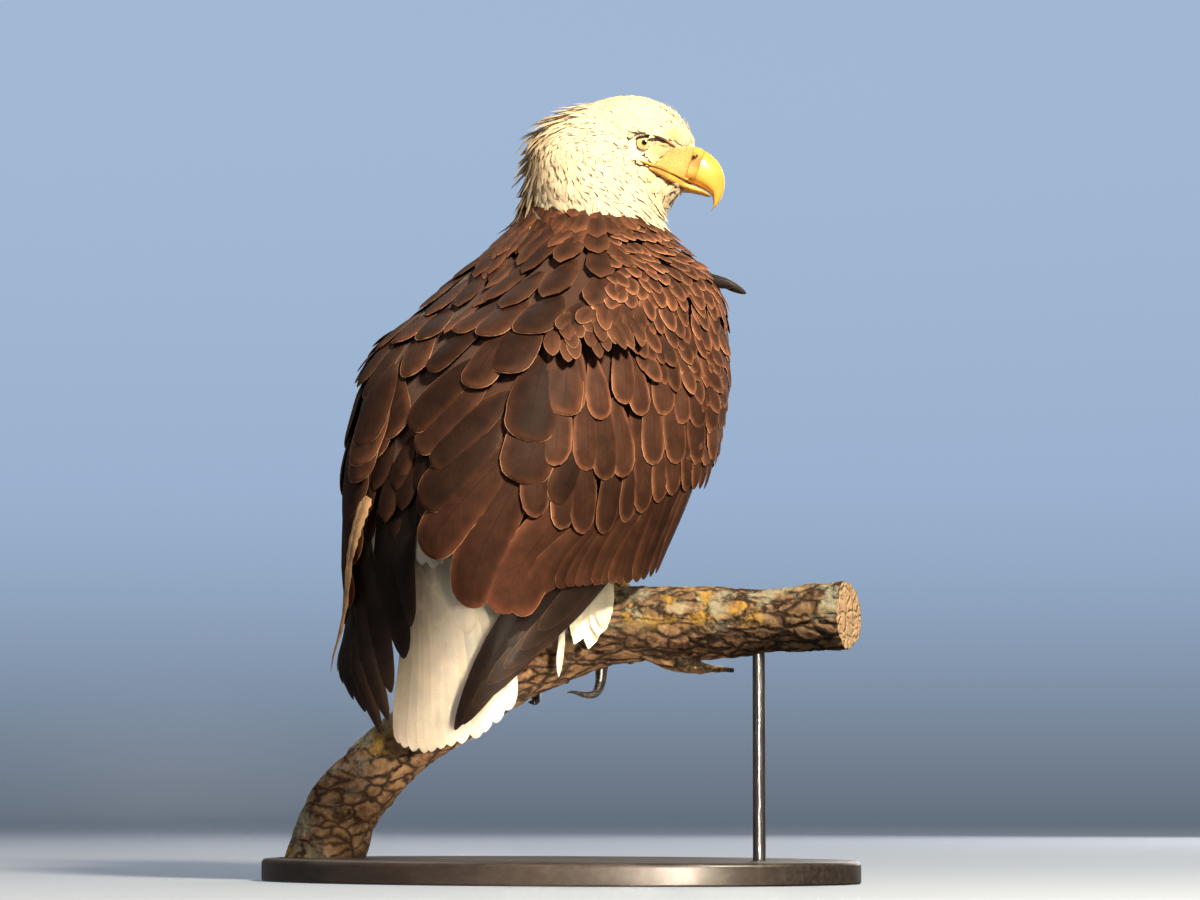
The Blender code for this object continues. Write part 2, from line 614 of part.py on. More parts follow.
def build_perch(parts, cutters):
    """Branch with its snag, standing on the base and drilled for the rods."""
    perch = add_mesh("perch_branch", loft(branch_rings(0)), parts, BARK, 0.9)
    heading = np.array([*BRANCH_HEADING, 0.0])
    points = [heading * run + np.array([0, 0, height]) for run, height, _ in SNAG]
    snag = add_mesh("snag", loft(tube_rings(points, [row[2] for row in SNAG], 8)), cutters)
    combine(perch, snag, "UNION")
    floor = bmesh.new()
    bmesh.ops.create_cube(floor, size=0.4, matrix=Matrix.Translation(
        Vector((*(heading[:2] * BRANCH[0][0]), BASE[2] + GAP - 0.2))))
    combine(perch, add_mesh("branch_foot", floor, cutters), "DIFFERENCE")
    return perch


def base_rings():
    """Oval plate with eased edges."""
    length, width, thick = BASE
    turn = np.arange(36) * math.tau / 36
    along = np.array([math.cos(BASE_TURN), math.sin(BASE_TURN)])
    aside = np.array([-along[1], along[0]])
    rings = []
    for inset, height in ((0.0012, 0.0), (0.0, 0.0012), (0.0, thick - 0.004),
                          (0.0012, thick - 0.0012), (0.0045, thick)):
        plan = (((length - inset) * np.cos(turn))[:, None] * along
                + ((width - inset) * np.sin(turn))[:, None] * aside)
        rings.append(np.column_stack([plan, np.full(36, height)]))
    return rings


def build_stand(parts, cutters, perch):
    """Base, one rod under the branch and a dowel where the branch stands on the base."""
    base = add_mesh("stand_base", loft(base_rings()), parts, EBONY, 0.4)
    thick = BASE[2]
    for label, run, radius, top in (("rod", ROD_RUN, ROD_RADIUS, 0.236),
                                    ("dowel", DOWEL_RUN, DOWEL_RADIUS, 0.060)):
        place = np.array(BRANCH_HEADING) * run
        low = thick - ROD_DEPTH
        add_rod(f"stand_{label}", place, radius, low + GAP, top - GAP, parts, STEEL)
        hole = add_rod(f"{label}_hole", place, radius + GAP, low, top, cutters)
        combine(base, hole, "DIFFERENCE")
        combine(perch, hole, "DIFFERENCE")


def main():
    clear_scene()
    parts, cutters = new_collection("bald_eagle"), new_collection("cutters")
    build_trunk(parts, cutters)
    trunk_space = add_mesh("trunk_space", loft(trunk_rings(GAP)), cutters)
    bark_space = add_mesh("bark_space", loft(branch_rings(GAP)), cutters)
    build_wings(parts, cutters)
    build_tail(parts, trunk_space)
    build_head(parts, cutters)
    build_legs(parts, cutters, trunk_space, bark_space)
    build_stand(parts, cutters, build_perch(parts, cutters))
    root = bpy.data.objects.new("bald_eagle_origin", None)
    parts.objects.link(root)
    for item in list(parts.objects):
        if item is not root:
            item.parent = root


main()
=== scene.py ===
"""Looks of a life-size bald eagle that grips a cut branch on a plain oval base.

Metres, +Z up. The bird faces -Y, its right side is -X, and its head is turned 45 degrees
to its right. Every feather is a thin closed vane laid on a surface of the body.
"""

import logging
import math
from dataclasses import dataclass, field, fields, replace
from enum import Enum
from typing import Protocol

import bpy
import numpy as np
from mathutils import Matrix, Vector


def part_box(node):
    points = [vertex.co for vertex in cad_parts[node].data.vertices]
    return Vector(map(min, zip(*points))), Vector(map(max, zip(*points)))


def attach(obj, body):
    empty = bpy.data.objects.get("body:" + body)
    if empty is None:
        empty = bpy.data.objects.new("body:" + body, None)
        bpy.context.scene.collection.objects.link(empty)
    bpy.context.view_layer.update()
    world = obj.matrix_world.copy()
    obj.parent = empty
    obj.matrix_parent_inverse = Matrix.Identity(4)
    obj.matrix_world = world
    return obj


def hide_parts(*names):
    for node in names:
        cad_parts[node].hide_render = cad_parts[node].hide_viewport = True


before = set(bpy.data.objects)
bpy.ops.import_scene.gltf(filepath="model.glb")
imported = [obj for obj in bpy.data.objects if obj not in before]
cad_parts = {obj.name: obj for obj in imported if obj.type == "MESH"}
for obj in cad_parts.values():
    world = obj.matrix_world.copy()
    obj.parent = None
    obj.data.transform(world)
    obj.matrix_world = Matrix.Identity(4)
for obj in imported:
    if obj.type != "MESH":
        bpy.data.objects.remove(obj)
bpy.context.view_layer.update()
LOG = logging.getLogger("eagle")
Array = np.ndarray
Colour = tuple[float, float, float]
UP = np.array([0.0, 0.0, 1.0])

# Folded plumage: height, axis y, half width, front y, rear y, section power
PLUMAGE = [
    (0.100, 0.070, 0.092, -0.020, 0.166, 3.0), (0.200, 0.070, 0.105, -0.030, 0.180, 3.0),
    (0.250, 0.065, 0.112, -0.052, 0.197, 3.0), (0.300, 0.060, 0.125, -0.078, 0.213, 3.0),
    (0.342, 0.045, 0.138, -0.099, 0.213, 3.1), (0.385, 0.030, 0.150, -0.119, 0.205, 3.2),
    (0.4275, 0.020, 0.154, -0.131, 0.191, 3.2), (0.470, 0.012, 0.155, -0.138, 0.174, 3.2),
    (0.513, 0.002, 0.150, -0.140, 0.142, 3.1), (0.551, -0.028, 0.138, -0.139, 0.099, 3.0),
    (0.575, -0.041, 0.122, -0.135, 0.074, 2.9), (0.5985, -0.045, 0.096, -0.125, 0.053, 2.6),
    (0.620, -0.048, 0.077, -0.119, 0.034, 2.3), (0.640, -0.052, 0.066, -0.117, 0.018, 2.2),
]
# Underside of the body: height, half width, front y, rear y
BELLY = [
    (0.289, 0.030, 0.030, 0.140), (0.297, 0.055, 0.010, 0.160), (0.312, 0.078, -0.015, 0.180),
    (0.332, 0.098, -0.050, 0.190), (0.352, 0.112, -0.080, 0.196), (0.378, 0.130, -0.112, 0.200),
    (0.400, 0.190, -0.180, 0.260),
]
# How far the left wing hangs clear of the body: height, distance outward
LOOSE = [(0.090, 0.020), (0.140, 0.031), (0.200, 0.042), (0.240, 0.027), (0.285, 0.011),
         (0.325, 0.002), (0.350, 0.0), (0.400, 0.0)]
# Neck and head stations from the breast up and over to the face: forward and height of the
# nape or crown, forward and height of the throat, half width, yaw to the right in degrees
HEAD_STATIONS = [
    (-0.0380, 0.6125, 0.1010, 0.6125, 0.078, 0), (-0.0330, 0.6260, 0.0980, 0.6205, 0.075, 8),
    (-0.0300, 0.6520, 0.0975, 0.6300, 0.070, 20), (-0.0280, 0.6780, 0.1000, 0.6375, 0.064, 31),
    (-0.0240, 0.7010, 0.1045, 0.6435, 0.059, 40), (-0.0120, 0.7205, 0.1088, 0.6480, 0.054, 45),
    (0.0120, 0.7370, 0.1120, 0.6510, 0.048, 45), (0.0350, 0.7455, 0.1144, 0.6532, 0.044, 45),
    (0.0560, 0.7510, 0.1160, 0.6547, 0.041, 45), (0.0780, 0.7515, 0.1172, 0.6557, 0.038, 45),
    (0.0970, 0.7460, 0.1180, 0.6564, 0.035, 45), (0.1125, 0.7370, 0.1186, 0.6570, 0.031, 45),
    (0.1235, 0.7245, 0.1190, 0.6575, 0.026, 45), (0.1303, 0.7128, 0.1194, 0.6580, 0.021, 45),
    (0.1340, 0.7035, 0.1197, 0.6584, 0.0175, 45),
]
# The head's upright plane: its distance from the body's axis, and the cosine of its turn
HEAD_PLANE, HEAD_COS = -0.034, math.sqrt(0.5)
EYE_FORWARD, EYE_HEIGHT, EYE_SPREAD, EYE_RADIUS = 0.0828, 0.7020, 0.0255, 0.0118
# Tail: height, front y, rear y of its thickness
TAIL_SIDES = [(0.110, 0.1370, 0.1440), (0.160, 0.1350, 0.1445), (0.220, 0.128, 0.148),
              (0.260, 0.117, 0.157), (0.300, 0.102, 0.174), (0.325, 0.096, 0.184)]
TAIL_TOP, TAIL_ROOT_WIDTH, TAIL_TIP_WIDTH, TAIL_COUNT = 0.325, 0.040, 0.089, 12
# Thighs: half width, then centre x, y, z
LEG = {
    "right": [(0.056, -0.060, -0.040, 0.400), (0.050, -0.057, -0.045, 0.362),
              (0.041, -0.051, -0.038, 0.332), (0.029, -0.045, -0.024, 0.3075),
              (0.020, -0.0426, -0.017, 0.2950)],
    "left": [(0.056, 0.060, -0.040, 0.400), (0.050, 0.057, -0.045, 0.358),
             (0.040, 0.051, -0.034, 0.318), (0.028, 0.045, -0.008, 0.282),
             (0.018, 0.0424, 0.012, 0.2580)],
}
# Branch: run along its plan line, height and radius of its centre line
BRANCH_HEADING = (-0.9397, -0.3422)
BRANCH = [(-0.258, -0.015, 0.0370), (-0.243, 0.031, 0.0360), (-0.231, 0.061, 0.0350),
          (-0.201, 0.096, 0.0335), (-0.171, 0.1245, 0.0318), (-0.107, 0.165, 0.0315),
          (-0.044, 0.2014, 0.0325), (0.003, 0.2233, 0.0340), (0.045, 0.2385, 0.0358),
          (0.087, 0.2413, 0.0363), (0.150, 0.2413, 0.0340), (0.213, 0.2423, 0.0308),
          (0.298, 0.2470, 0.0300)]

WHITE: Colour = (0.87, 0.78, 0.61)
LORE_YELLOW: Colour = (0.82, 0.50, 0.19)
BROWN: Colour = (0.088, 0.036, 0.020)
DUSK: Colour = (0.020, 0.012, 0.009)
BUFF: Colour = (0.56, 0.33, 0.17)
BARE_YELLOW: Colour = (0.72, 0.46, 0.14)
BAKE_PATCH = 0.003  # width of one feather's patch on the unwrap


class Side(Enum):
    """The bird's two sides, by the sign of x."""

    RIGHT = -1
    LEFT = 1

    @property
    def label(self) -> str:
        """Lower case name of the side."""
        return self.name.lower()

    @property
    def sign(self) -> int:
        """Sign of the head's lateral direction, which runs to its right."""
        return -self.value


class Finish(Protocol):
    """What a piece can be finished with."""

    def build(self) -> bpy.types.Material:
        """Wires the finish."""


# ---------------------------------------------------------------- numbers and surfaces

def smooth(table: list, at: Array | float) -> Array:
    """Cubic Hermite through a table whose first column rises.

    Args:
        table: rows of a station and its values.
        at: stations to read.

    Returns:
        One row of values for each station read.
    """
    rows = np.asarray(table, float)
    station, values = rows[:, 0], rows[:, 1:]
    slopes = np.gradient(values, station, axis=0)
    at = np.atleast_1d(np.asarray(at, float))
    low = np.clip(np.searchsorted(station, at) - 1, 0, len(station) - 2)
    width = (station[low + 1] - station[low])[:, None]
    s = np.clip((at - station[low]) / width[:, 0], 0, 1)[:, None]
    start = values[low] * (2 * s**3 - 3 * s**2 + 1) + slopes[low] * width * (s**3 - 2 * s**2 + s)
    end = values[low + 1] * (3 * s**2 - 2 * s**3) + slopes[low + 1] * width * (s**3 - s**2)
    return start + end


def ease(value: Array | float) -> Array:
    """Smooth step from 0 to 1."""
    value = np.clip(value, 0, 1)
    return value * value * (3 - 2 * value)


def unit(vector: Array) -> Array:
    """Vectors scaled to length one along the last axis."""
    vector = np.asarray(vector, float)
    return vector / np.maximum(np.linalg.norm(vector, axis=-1, keepdims=True), 1e-12)


def turns(count: int) -> Array:
    """Evenly spaced angles of one full turn, its end left out."""
    return np.arange(count) * math.tau / count


def lattice_noise(points: Array, size: float, seed: int) -> Array:
    """Random values on a cubic lattice, blended between its corners by smooth steps.

    Args:
        points: places, last axis xyz.
        size: edge of one lattice cell in metres.
        seed: chooses the lattice.

    Returns:
        A value from -1 to 1 for each place.
    """
    table = np.random.default_rng(seed).uniform(-1, 1, (24, 24, 24))
    place = np.asarray(points) / size
    cell = np.floor(place).astype(int)
    part = ease(place - cell)
    total = np.zeros(place.shape[:-1])
    for corner in np.ndindex(2, 2, 2):
        weight = np.prod(np.where(np.array(corner, bool), part, 1 - part), axis=-1)
        i, j, k = np.moveaxis((cell + corner) % 24, -1, 0)
        total += weight * table[i, j, k]
    return total


def polar(width: Array, front: Array, rear: Array, centre: Array, turn: Array,
          power: Array | float) -> Array:
    """Radius of a superellipse about the body's axis: the n-th root of one over the sum of
    the n-th powers of cosine over reach and sine over half width.

    Args:
        width: half width of the section.
        front: front y of the section.
        rear: rear y of the section.
        centre: y of the axis.
        turn: angle from the middle of the back, in radians.
        power: the exponent n.

    Returns:
        The radius for each turn.
    """
    along, across = np.cos(turn), np.abs(np.sin(turn))
    reach = np.where(along >= 0, rear - centre, centre - front)
    return ((np.abs(along) / reach) ** power + (across / width) ** power) ** (-1 / power)


def on_plumage(height: Array, turn: Array, inward: Array | float, side: Side) -> Array:
    """Points at a depth under the folded plumage: axis plus radius along the turn.

    Args:
        height: heights z.
        turn: angles from the middle of the back round to the side, in radians.
        inward: depth under the surface.
        side: the side of the body.

    Returns:
        The points, xyz last.
    """
    height, turn = np.broadcast_arrays(np.asarray(height, float), turn)
    centre, width, front, rear, power = smooth(PLUMAGE, height.ravel()).T
    radius = polar(width, front, rear, centre, turn.ravel(), power)
    if side is Side.LEFT:
        radius = radius + smooth(LOOSE, height.ravel())[:, 0] * ease((turn.ravel() - 0.05) / 0.8)
    radius = radius.reshape(height.shape) - inward
    axis = centre.reshape(height.shape)
    return np.stack([side.value * radius * np.sin(turn), axis + radius * np.cos(turn), height], -1)


def trunk_point(height: Array, turn: Array, inward: float) -> Array:
    """Points on the breast and belly: the lesser radius of plumage and underside.

    Args:
        height: heights z.
        turn: angles from the middle of the back, in radians.
        inward: depth under the surface.

    Returns:
        The points, xyz last.
    """
    height, turn = np.broadcast_arrays(np.asarray(height, float), turn)
    flat = np.maximum(height.ravel(), BELLY[0][0])
    centre, width, front, rear, power = smooth(PLUMAGE, flat).T
    outer = polar(width, front, rear, centre, turn.ravel(), power)
    low_width, low_front, low_rear = smooth(BELLY, flat).T
    under = polar(low_width, low_front, low_rear, centre, turn.ravel(), 2.3)
    radius = np.where(flat < BELLY[-1][0], np.minimum(outer, under), outer) - inward
    radius, centre = radius.reshape(height.shape), centre.reshape(height.shape)
    return np.stack([radius * np.sin(turn), centre + radius * np.cos(turn), height], -1)


def head_point(forward: Array, height: Array, lateral: Array | float = 0.0) -> Array:
    """A point in the turned head's upright plane, or beside it towards its right.

    Args:
        forward: distance ahead of the body's axis, along the gaze.
        height: height z.
        lateral: distance out of the plane towards the head's right side.

    Returns:
        The point, xyz last.
    """
    forward, height, lateral = np.broadcast_arrays(
        np.asarray(forward, float), np.asarray(height, float), np.asarray(lateral, float))
    depth = HEAD_PLANE + lateral
    return np.stack([-HEAD_COS * (forward + depth), -HEAD_COS * (forward - depth), height], -1)


def in_head(points: Array) -> Array:
    """Forward, height and lateral of points, the inverse of head_point."""
    x, y, z = np.moveaxis(points, -1, 0)
    return np.stack([-HEAD_COS * (x + y), z, HEAD_COS * (y - x) - HEAD_PLANE], -1)


@dataclass
class Surface:
    """A sampled surface. Rows run down the lie of the feathers, columns run across it.

    chart is the surface's part of the unwrap, closed tells that the columns meet, and
    inside is a place that the normals point away from.
    """

    points: Array
    chart: tuple[float, float, float, float]
    closed: bool = False
    inside: Array | None = None
    grid: Array = field(init=False)

    def __post_init__(self) -> None:
        """Adds slopes and outward normals to the sampled points."""
        rows, columns = self.points.shape[:2]
        down = np.gradient(self.points, axis=0) * (rows - 1)
        around = np.gradient(self.points, axis=1)
        if self.closed:
            around[:, 0] = around[:, -1] = (self.points[:, 1] - self.points[:, -2]) / 2
        around *= columns - 1
        normal = unit(np.cross(around, down))
        middle = self.points.mean(axis=1, keepdims=True) if self.inside is None else self.inside
        if np.sum(normal * (self.points - middle)) < 0:
            normal = -normal
        self.grid = np.concatenate([self.points, around, down, normal], axis=-1)

    def read(self, u: Array, v: Array) -> tuple[Array, Array, Array, Array]:
        """Bilinear reading of the surface; past its edges the points run on straight.

        Args:
            u: place across, 0 to 1.
            v: place down the lie, 0 to 1.

        Returns:
            Points, slopes across, slopes down and normals.
        """
        rows, columns = self.grid.shape[:2]
        u = u % 1 if self.closed else u
        x, y = u * (columns - 1), v * (rows - 1)
        i = np.clip(np.floor(x).astype(int), 0, columns - 2)
        j = np.clip(np.floor(y).astype(int), 0, rows - 2)
        a, b = (x - i)[..., None], (y - j)[..., None]

        def blend(part: slice, a: Array, b: Array) -> Array:
            """Mix of the four samples round each place.

            Args:
                part: which numbers of the samples.
                a: share of the next column.
                b: share of the next row.

            Returns:
                The mixed numbers.
            """
            g = self.grid[..., part]
            return (g[j, i] * (1 - a) * (1 - b) + g[j, i + 1] * a * (1 - b)
                    + g[j + 1, i] * (1 - a) * b + g[j + 1, i + 1] * a * b)

        a1, b1 = np.clip(a, 0, 1), np.clip(b, 0, 1)
        return (blend(slice(0, 3), a, b), blend(slice(3, 6), a1, b1),
                blend(slice(6, 9), a1, b1), unit(blend(slice(9, 12), a1, b1)))

    def chart_near(self, place: Array) -> tuple[float, float, float, float]:
        """The chart shrunk to the unwrapped place of the sample nearest to a point.

        Args:
            place: a point, xyz.

        Returns:
            Low and high corner of the chart, which are the same.
        """
        gap = np.sum((self.points - place) ** 2, axis=-1)
        row, column = np.unravel_index(np.argmin(gap), gap.shape)
        rows, columns = gap.shape
        across, down = self.bake(np.array(column / (columns - 1)), np.array(row / (rows - 1)))
        return (float(across), float(down), float(across), float(down))

    def steps(self, u: Array, v: Array, angle: Array) -> tuple[Array, Array, Array, Array, Array]:
        """Changes of u and v for one metre along and across a lie angle, and the hand.

        Args:
            u: place across.
            v: place down the lie.
            angle: turn from straight down towards greater u, in radians.

        Returns:
            Changes of u and of v ahead, changes of u and of v aside, and the hand, which is
            -1 where across, down and the normal make a left-handed set.
        """
        _, around, down, normal = self.read(u, v)
        ahead = unit(down)
        aside = unit(around - np.sum(around * ahead, -1, keepdims=True) * ahead)
        cos, sin = np.cos(angle)[..., None], np.sin(angle)[..., None]
        hand = np.sign(np.sum(np.cross(aside, ahead) * normal, -1))
        uu, uv, vv = (np.sum(a * b, -1) for a, b in ((around, around), (around, down), (down, down)))
        area = np.maximum(uu * vv - uv * uv, 1e-12)
        found = []
        for move in (cos * ahead + sin * aside, cos * aside - sin * ahead):
            a, b = np.sum(around * move, -1), np.sum(down * move, -1)
            found += [(a * vv - b * uv) / area, (b * uu - a * uv) / area]
        return (*found, hand)

    def walk(self, u: Array, v: Array, angle: Array, distance: Array) -> tuple[Array, Array]:
        """Ends of straight walks over the surface, in small steps.

        Args:
            u: place across.
            v: place down the lie.
            angle: turn from straight down towards greater u, in radians.
            distance: length of each walk; a negative one goes back up.

        Returns:
            u and v of the ends.
        """
        steps = 8
        for _ in range(steps):
            du, dv, _, _, _ = self.steps(u, v, angle)
            u, v = u + du * distance / steps, v + dv * distance / steps
        return u, v

    def bake(self, u: Array, v: Array) -> Array:
        """Place of a root on the unwrap of the skin, inside this surface's own chart.

        Args:
            u: place across.
            v: place down the lie.

        Returns:
            The places, two numbers each.
        """
        x0, y0, x1, y1 = self.chart
        u = u % 1 if self.closed else np.clip(u, 0, 1)
        return np.stack([x0 + (x1 - x0) * u, y0 + (y1 - y0) * np.clip(v, 0, 1)], -1)


# ------------------------------------------------------------------------------ vanes

@dataclass(frozen=True)
class Vane:
    """Shape of one kind of feather.

    rows holds the part of the length and the share of the half width at each cross row.
    Camber and curl are shares of the half width and of the length.
    """

    rows: tuple[tuple[float, float], ...]
    across: int
    thickness: float
    camber: float = 0.10
    curl: float = 0.0
    ragged: float = 0.0
    skew: float = 0.16


COVERT = Vane(((0.0, 0.35), (0.35, 0.80), (0.62, 0.98), (0.80, 0.96), (0.915, 0.75),
               (0.975, 0.44), (1.0, 0.10)), 5, 0.0006, 0.12, 0.0, 0.03)
POINTED = Vane(((0.0, 0.35), (0.35, 0.85), (0.58, 1.0), (0.76, 0.88), (0.90, 0.58),
                (0.965, 0.30), (1.0, 0.04)), 5, 0.0005, 0.12, 0.0, 0.03)
BREAST = Vane(((0.0, 0.4), (0.4, 0.9), (0.68, 1.0), (0.87, 0.70), (1.0, 0.05)), 5, 0.0006,
              0.14, 0.0, 0.05)
TUFT = Vane(((0.0, 0.5), (0.35, 1.0), (0.72, 0.74), (1.0, 0.05)), 3, 0.0005, 0.05, 0.0, 0.0, 0.5)
QUILL = Vane(((0.0, 0.22), (0.10, 0.45), (0.22, 0.70), (0.36, 0.88), (0.50, 0.97), (0.63, 1.0),
              (0.75, 0.99), (0.84, 0.94), (0.90, 0.85), (0.945, 0.70), (0.975, 0.50),
              (0.993, 0.26), (1.0, 0.06)), 7, 0.0009, 0.10, 0.0, 0.022)
FLIGHT = Vane(((0.0, 0.30), (0.12, 0.55), (0.28, 0.85), (0.45, 1.0), (0.60, 0.98), (0.72, 0.88),
               (0.82, 0.74), (0.90, 0.57), (0.955, 0.38), (0.99, 0.17), (1.0, 0.05)),
              7, 0.0010, 0.09, 0.0, 0.03, 0.25)
SHREDDED = Vane(((0.0, 0.6), (0.08, 1.0), (0.16, 0.8), (0.24, 1.0), (0.33, 0.72), (0.41, 0.95),
                 (0.50, 0.66), (0.58, 0.84), (0.66, 0.52), (0.74, 0.66), (0.82, 0.40),
                 (0.91, 0.34), (1.0, 0.06)), 5, 0.0009, 0.10, 0.0, 0.10, 0.3)


@dataclass
class Feathers:
    """Feathers of one tract; each field is one number or one for each feather.

    u and v place the roots, lie is the angle from straight down the surface towards
    greater u, bend adds to it towards the tip, root and tip are heights over the surface,
    tilt raises the edge of greater u, rise is the power by which the height goes from root
    to tip, tint is the vane's colour and fringe the strength of its worn edge.
    """

    u: Array
    v: Array
    length: Array | float
    half_width: Array | float
    lie: Array | float = 0.0
    bend: Array | float = 0.0
    root: Array | float = -0.006
    tip: Array | float = 0.0
    tilt: Array | float = 0.0
    rise: float = 0.9
    tint: Array | Colour = BROWN
    fringe: Array | float = 0.5


@dataclass
class Down:
    """Vertices and per-vertex marks of many vanes, ready to become one mesh."""

    points: Array
    vane: Array
    bake: Array
    tint: Array
    tone: Array
    fringe: Array
    reach: Array
    ahead: Array
    corners: Array
    totals: Array


def ring_quads(rows: int, ring: int, hoop: bool = False) -> Array:
    """Four-cornered faces between neighbouring rings.

    Args:
        rows: number of rings.
        ring: vertices in a ring.
        hoop: the last ring joins the first.

    Returns:
        Vertex numbers, four for each face.
    """
    around = np.arange(ring)
    beside = (around + 1) % ring
    low = np.arange(rows if hoop else rows - 1)[:, None] * ring
    high = (low + ring) % (rows * ring)
    return np.stack([low + around, low + beside, high + beside, high + around], -1).reshape(-1, 4)


def vane_faces(rows: int, ring: int) -> tuple[Array, Array]:
    """Faces of a tube of rings closed by a face at each end.

    Args:
        rows: number of rings.
        ring: vertices in a ring.

    Returns:
        Vertex numbers of all faces in one run, and the number of corners of each face.
    """
    around = np.arange(ring)
    root, tip = around[::-1], (rows - 1) * ring + around
    totals = np.concatenate([np.full((rows - 1) * ring, 4), [ring, ring]])
    return np.concatenate([ring_quads(rows, ring).ravel(), root, tip]), totals


def lay(surface: Surface, tract: Feathers, shape: Vane, rng: np.random.Generator) -> Down:
    """Lays feathers on a surface. Each midline walks over the surface from its root in small
    straight steps; across it every point is a flat step to the side. Height over the
    surface runs from root to tip as a power of the part, plus a camber that falls with the
    square of the distance from the shaft, and the two faces part by a lens of the vane's
    thickness. The tip leans to one side by chance, and the outer edges are a little ragged.

    Args:
        surface: what the feathers lie on.
        tract: their places and sizes.
        shape: the vane's outline and section.
        rng: source of each feather's tone.

    Returns:
        The feathers' vertices, marks and faces.
    """
    count = len(tract.u)

    def spread(value: Array | float) -> Array:
        """One value for each feather."""
        return np.broadcast_to(np.asarray(value, float), (count,)).astype(float)

    u, v = spread(tract.u), spread(tract.v)
    length, half, lie, bend = map(spread, (tract.length, tract.half_width, tract.lie, tract.bend))
    part, share = np.array(shape.rows, float).T
    rows = len(part)
    top = np.linspace(-1, 1, shape.across)
    across = np.concatenate([top, top[-2:0:-1]])
    ring = len(across)
    face = np.concatenate([np.ones(shape.across), -np.ones(shape.across - 2)])
    lean = rng.uniform(-shape.skew, shape.skew, count) * half
    edge = (np.abs(across) > 0.99).astype(float)
    places = []
    for row in range(rows):
        du, dv, side_u, side_v, hand = surface.steps(u, v, lie + bend * part[row])
        wear = 1 - shape.ragged * np.abs(rng.normal(0, 1, (count, ring))) * edge
        reach = (half * share[row])[:, None] * across * wear + (lean * part[row] ** 2)[:, None]
        reach = reach * hand[:, None]
        places.append((u[:, None] + side_u[:, None] * reach, v[:, None] + side_v[:, None] * reach))
        if row + 1 < rows:
            u = u + du * (part[row + 1] - part[row]) * length
            v = v + dv * (part[row + 1] - part[row]) * length
    all_u = np.stack([p[0] for p in places], 1)
    all_v = np.stack([p[1] for p in places], 1)
    points, _, _, normal = surface.read(all_u, all_v)
    root, tip, tilt = map(spread, (tract.root, tract.tip, tract.tilt))
    rise = part[None, :] ** tract.rise
    height = root[:, None] * (1 - rise) + tip[:, None] * rise + shape.curl * length[:, None] * part**4
    bow = 1 - across**2
    height = height[..., None] + (half[:, None] * share)[..., None] * (
        shape.camber * bow + (tilt[:, None, None] * across))
    lens = shape.thickness / 2 * bow * face
    points = points + normal * (height + lens * np.minimum(1, share * 2)[:, None])[..., None]
    size = (count, rows, ring)
    vane = np.stack([np.broadcast_to((across + 1) / 2, size),
                     np.broadcast_to(part[:, None], size)], -1)
    wide = np.broadcast_to((1000 * half[:, None] * share)[..., None], size)
    ahead = np.broadcast_to((1000 * length[:, None] * (1 - part))[..., None], size)
    bake = surface.bake(spread(tract.u), spread(tract.v))[:, None, None]
    bake = bake + BAKE_PATCH * (vane - 0.5)
    tone = rng.uniform(0, 1, count)
    tint = np.broadcast_to(np.asarray(tract.tint, float), (count, 3))
    corners, totals = vane_faces(rows, ring)
    offset = (np.arange(count) * rows * ring)[:, None]

    def per_vertex(values: Array) -> Array:
        """Each feather's value for all of its vertices."""
        return np.repeat(values, rows * ring, axis=0)

    return Down(points.reshape(-1, 3), vane.reshape(-1, 2), bake.reshape(-1, 2), per_vertex(tint),
                per_vertex(tone), per_vertex(spread(tract.fringe)), wide.ravel(), ahead.ravel(),
                (corners[None, :] + offset).ravel(), np.tile(totals, count))


def gather(parts: list[Down]) -> Down:
    """Joins several lots of vanes into one.

    Args:
        parts: the lots.

    Returns:
        All their vanes as one lot.
    """
    shift = np.cumsum([0] + [len(p.points) for p in parts[:-1]])
    joined = {entry.name: np.concatenate([getattr(p, entry.name) for p in parts])
              for entry in fields(Down)}
    joined["corners"] = np.concatenate([p.corners + s for p, s in zip(parts, shift)])
    return Down(**joined)


def make_object(name: str, points: Array, corners: Array, totals: Array,
                sharp: float = 50.0) -> bpy.types.Object:
    """Puts vertices and faces into a new smooth-shaded object at the origin.

    Args:
        name: the piece's name.
        points: vertices, one row each.
        corners: vertex numbers of all faces in one run.
        totals: number of corners of each face.
        sharp: edges over this angle in degrees stay crisp.

    Returns:
        The new object.
    """
    mesh = bpy.data.meshes.new(name)
    mesh.vertices.add(len(points))
    mesh.vertices.foreach_set("co", np.ascontiguousarray(points, np.float32).ravel())
    mesh.loops.add(len(corners))
    mesh.loops.foreach_set("vertex_index", corners.astype(np.int32))
    mesh.polygons.add(len(totals))
    starts = np.concatenate([[0], np.cumsum(totals)[:-1]])
    mesh.polygons.foreach_set("loop_start", starts.astype(np.int32))
    mesh.update(calc_edges=True)
    mesh.validate()
    mesh.shade_smooth()
    mesh.set_sharp_from_angle(angle=math.radians(sharp))
    item = bpy.data.objects.new(name, mesh)
    bpy.context.scene.collection.objects.link(item)
    return item


def vertices(item: bpy.types.Object) -> Array:
    """Reads the places of an object's vertices.

    Args:
        item: the object.

    Returns:
        The points, one row each.
    """
    points = np.empty(len(item.data.vertices) * 3)
    item.data.vertices.foreach_get("co", points)
    return points.reshape(-1, 3)


def set_mark(item: bpy.types.Object, name: str, values: Array | float) -> None:
    """Stores a number or a colour for each vertex.

    Args:
        item: the object.
        name: the mark's name.
        values: one row for each vertex, or one number for all.
    """
    mesh = item.data
    if np.ndim(values) < 2:
        numbers = np.broadcast_to(values, len(mesh.vertices)).astype(np.float32)
        mesh.attributes.new(name, "FLOAT", "POINT").data.foreach_set("value", numbers)
    else:
        colours = np.column_stack([values, np.ones(len(values))]).astype(np.float32)
        mesh.attributes.new(name, "FLOAT_COLOR", "POINT").data.foreach_set("color", colours.ravel())


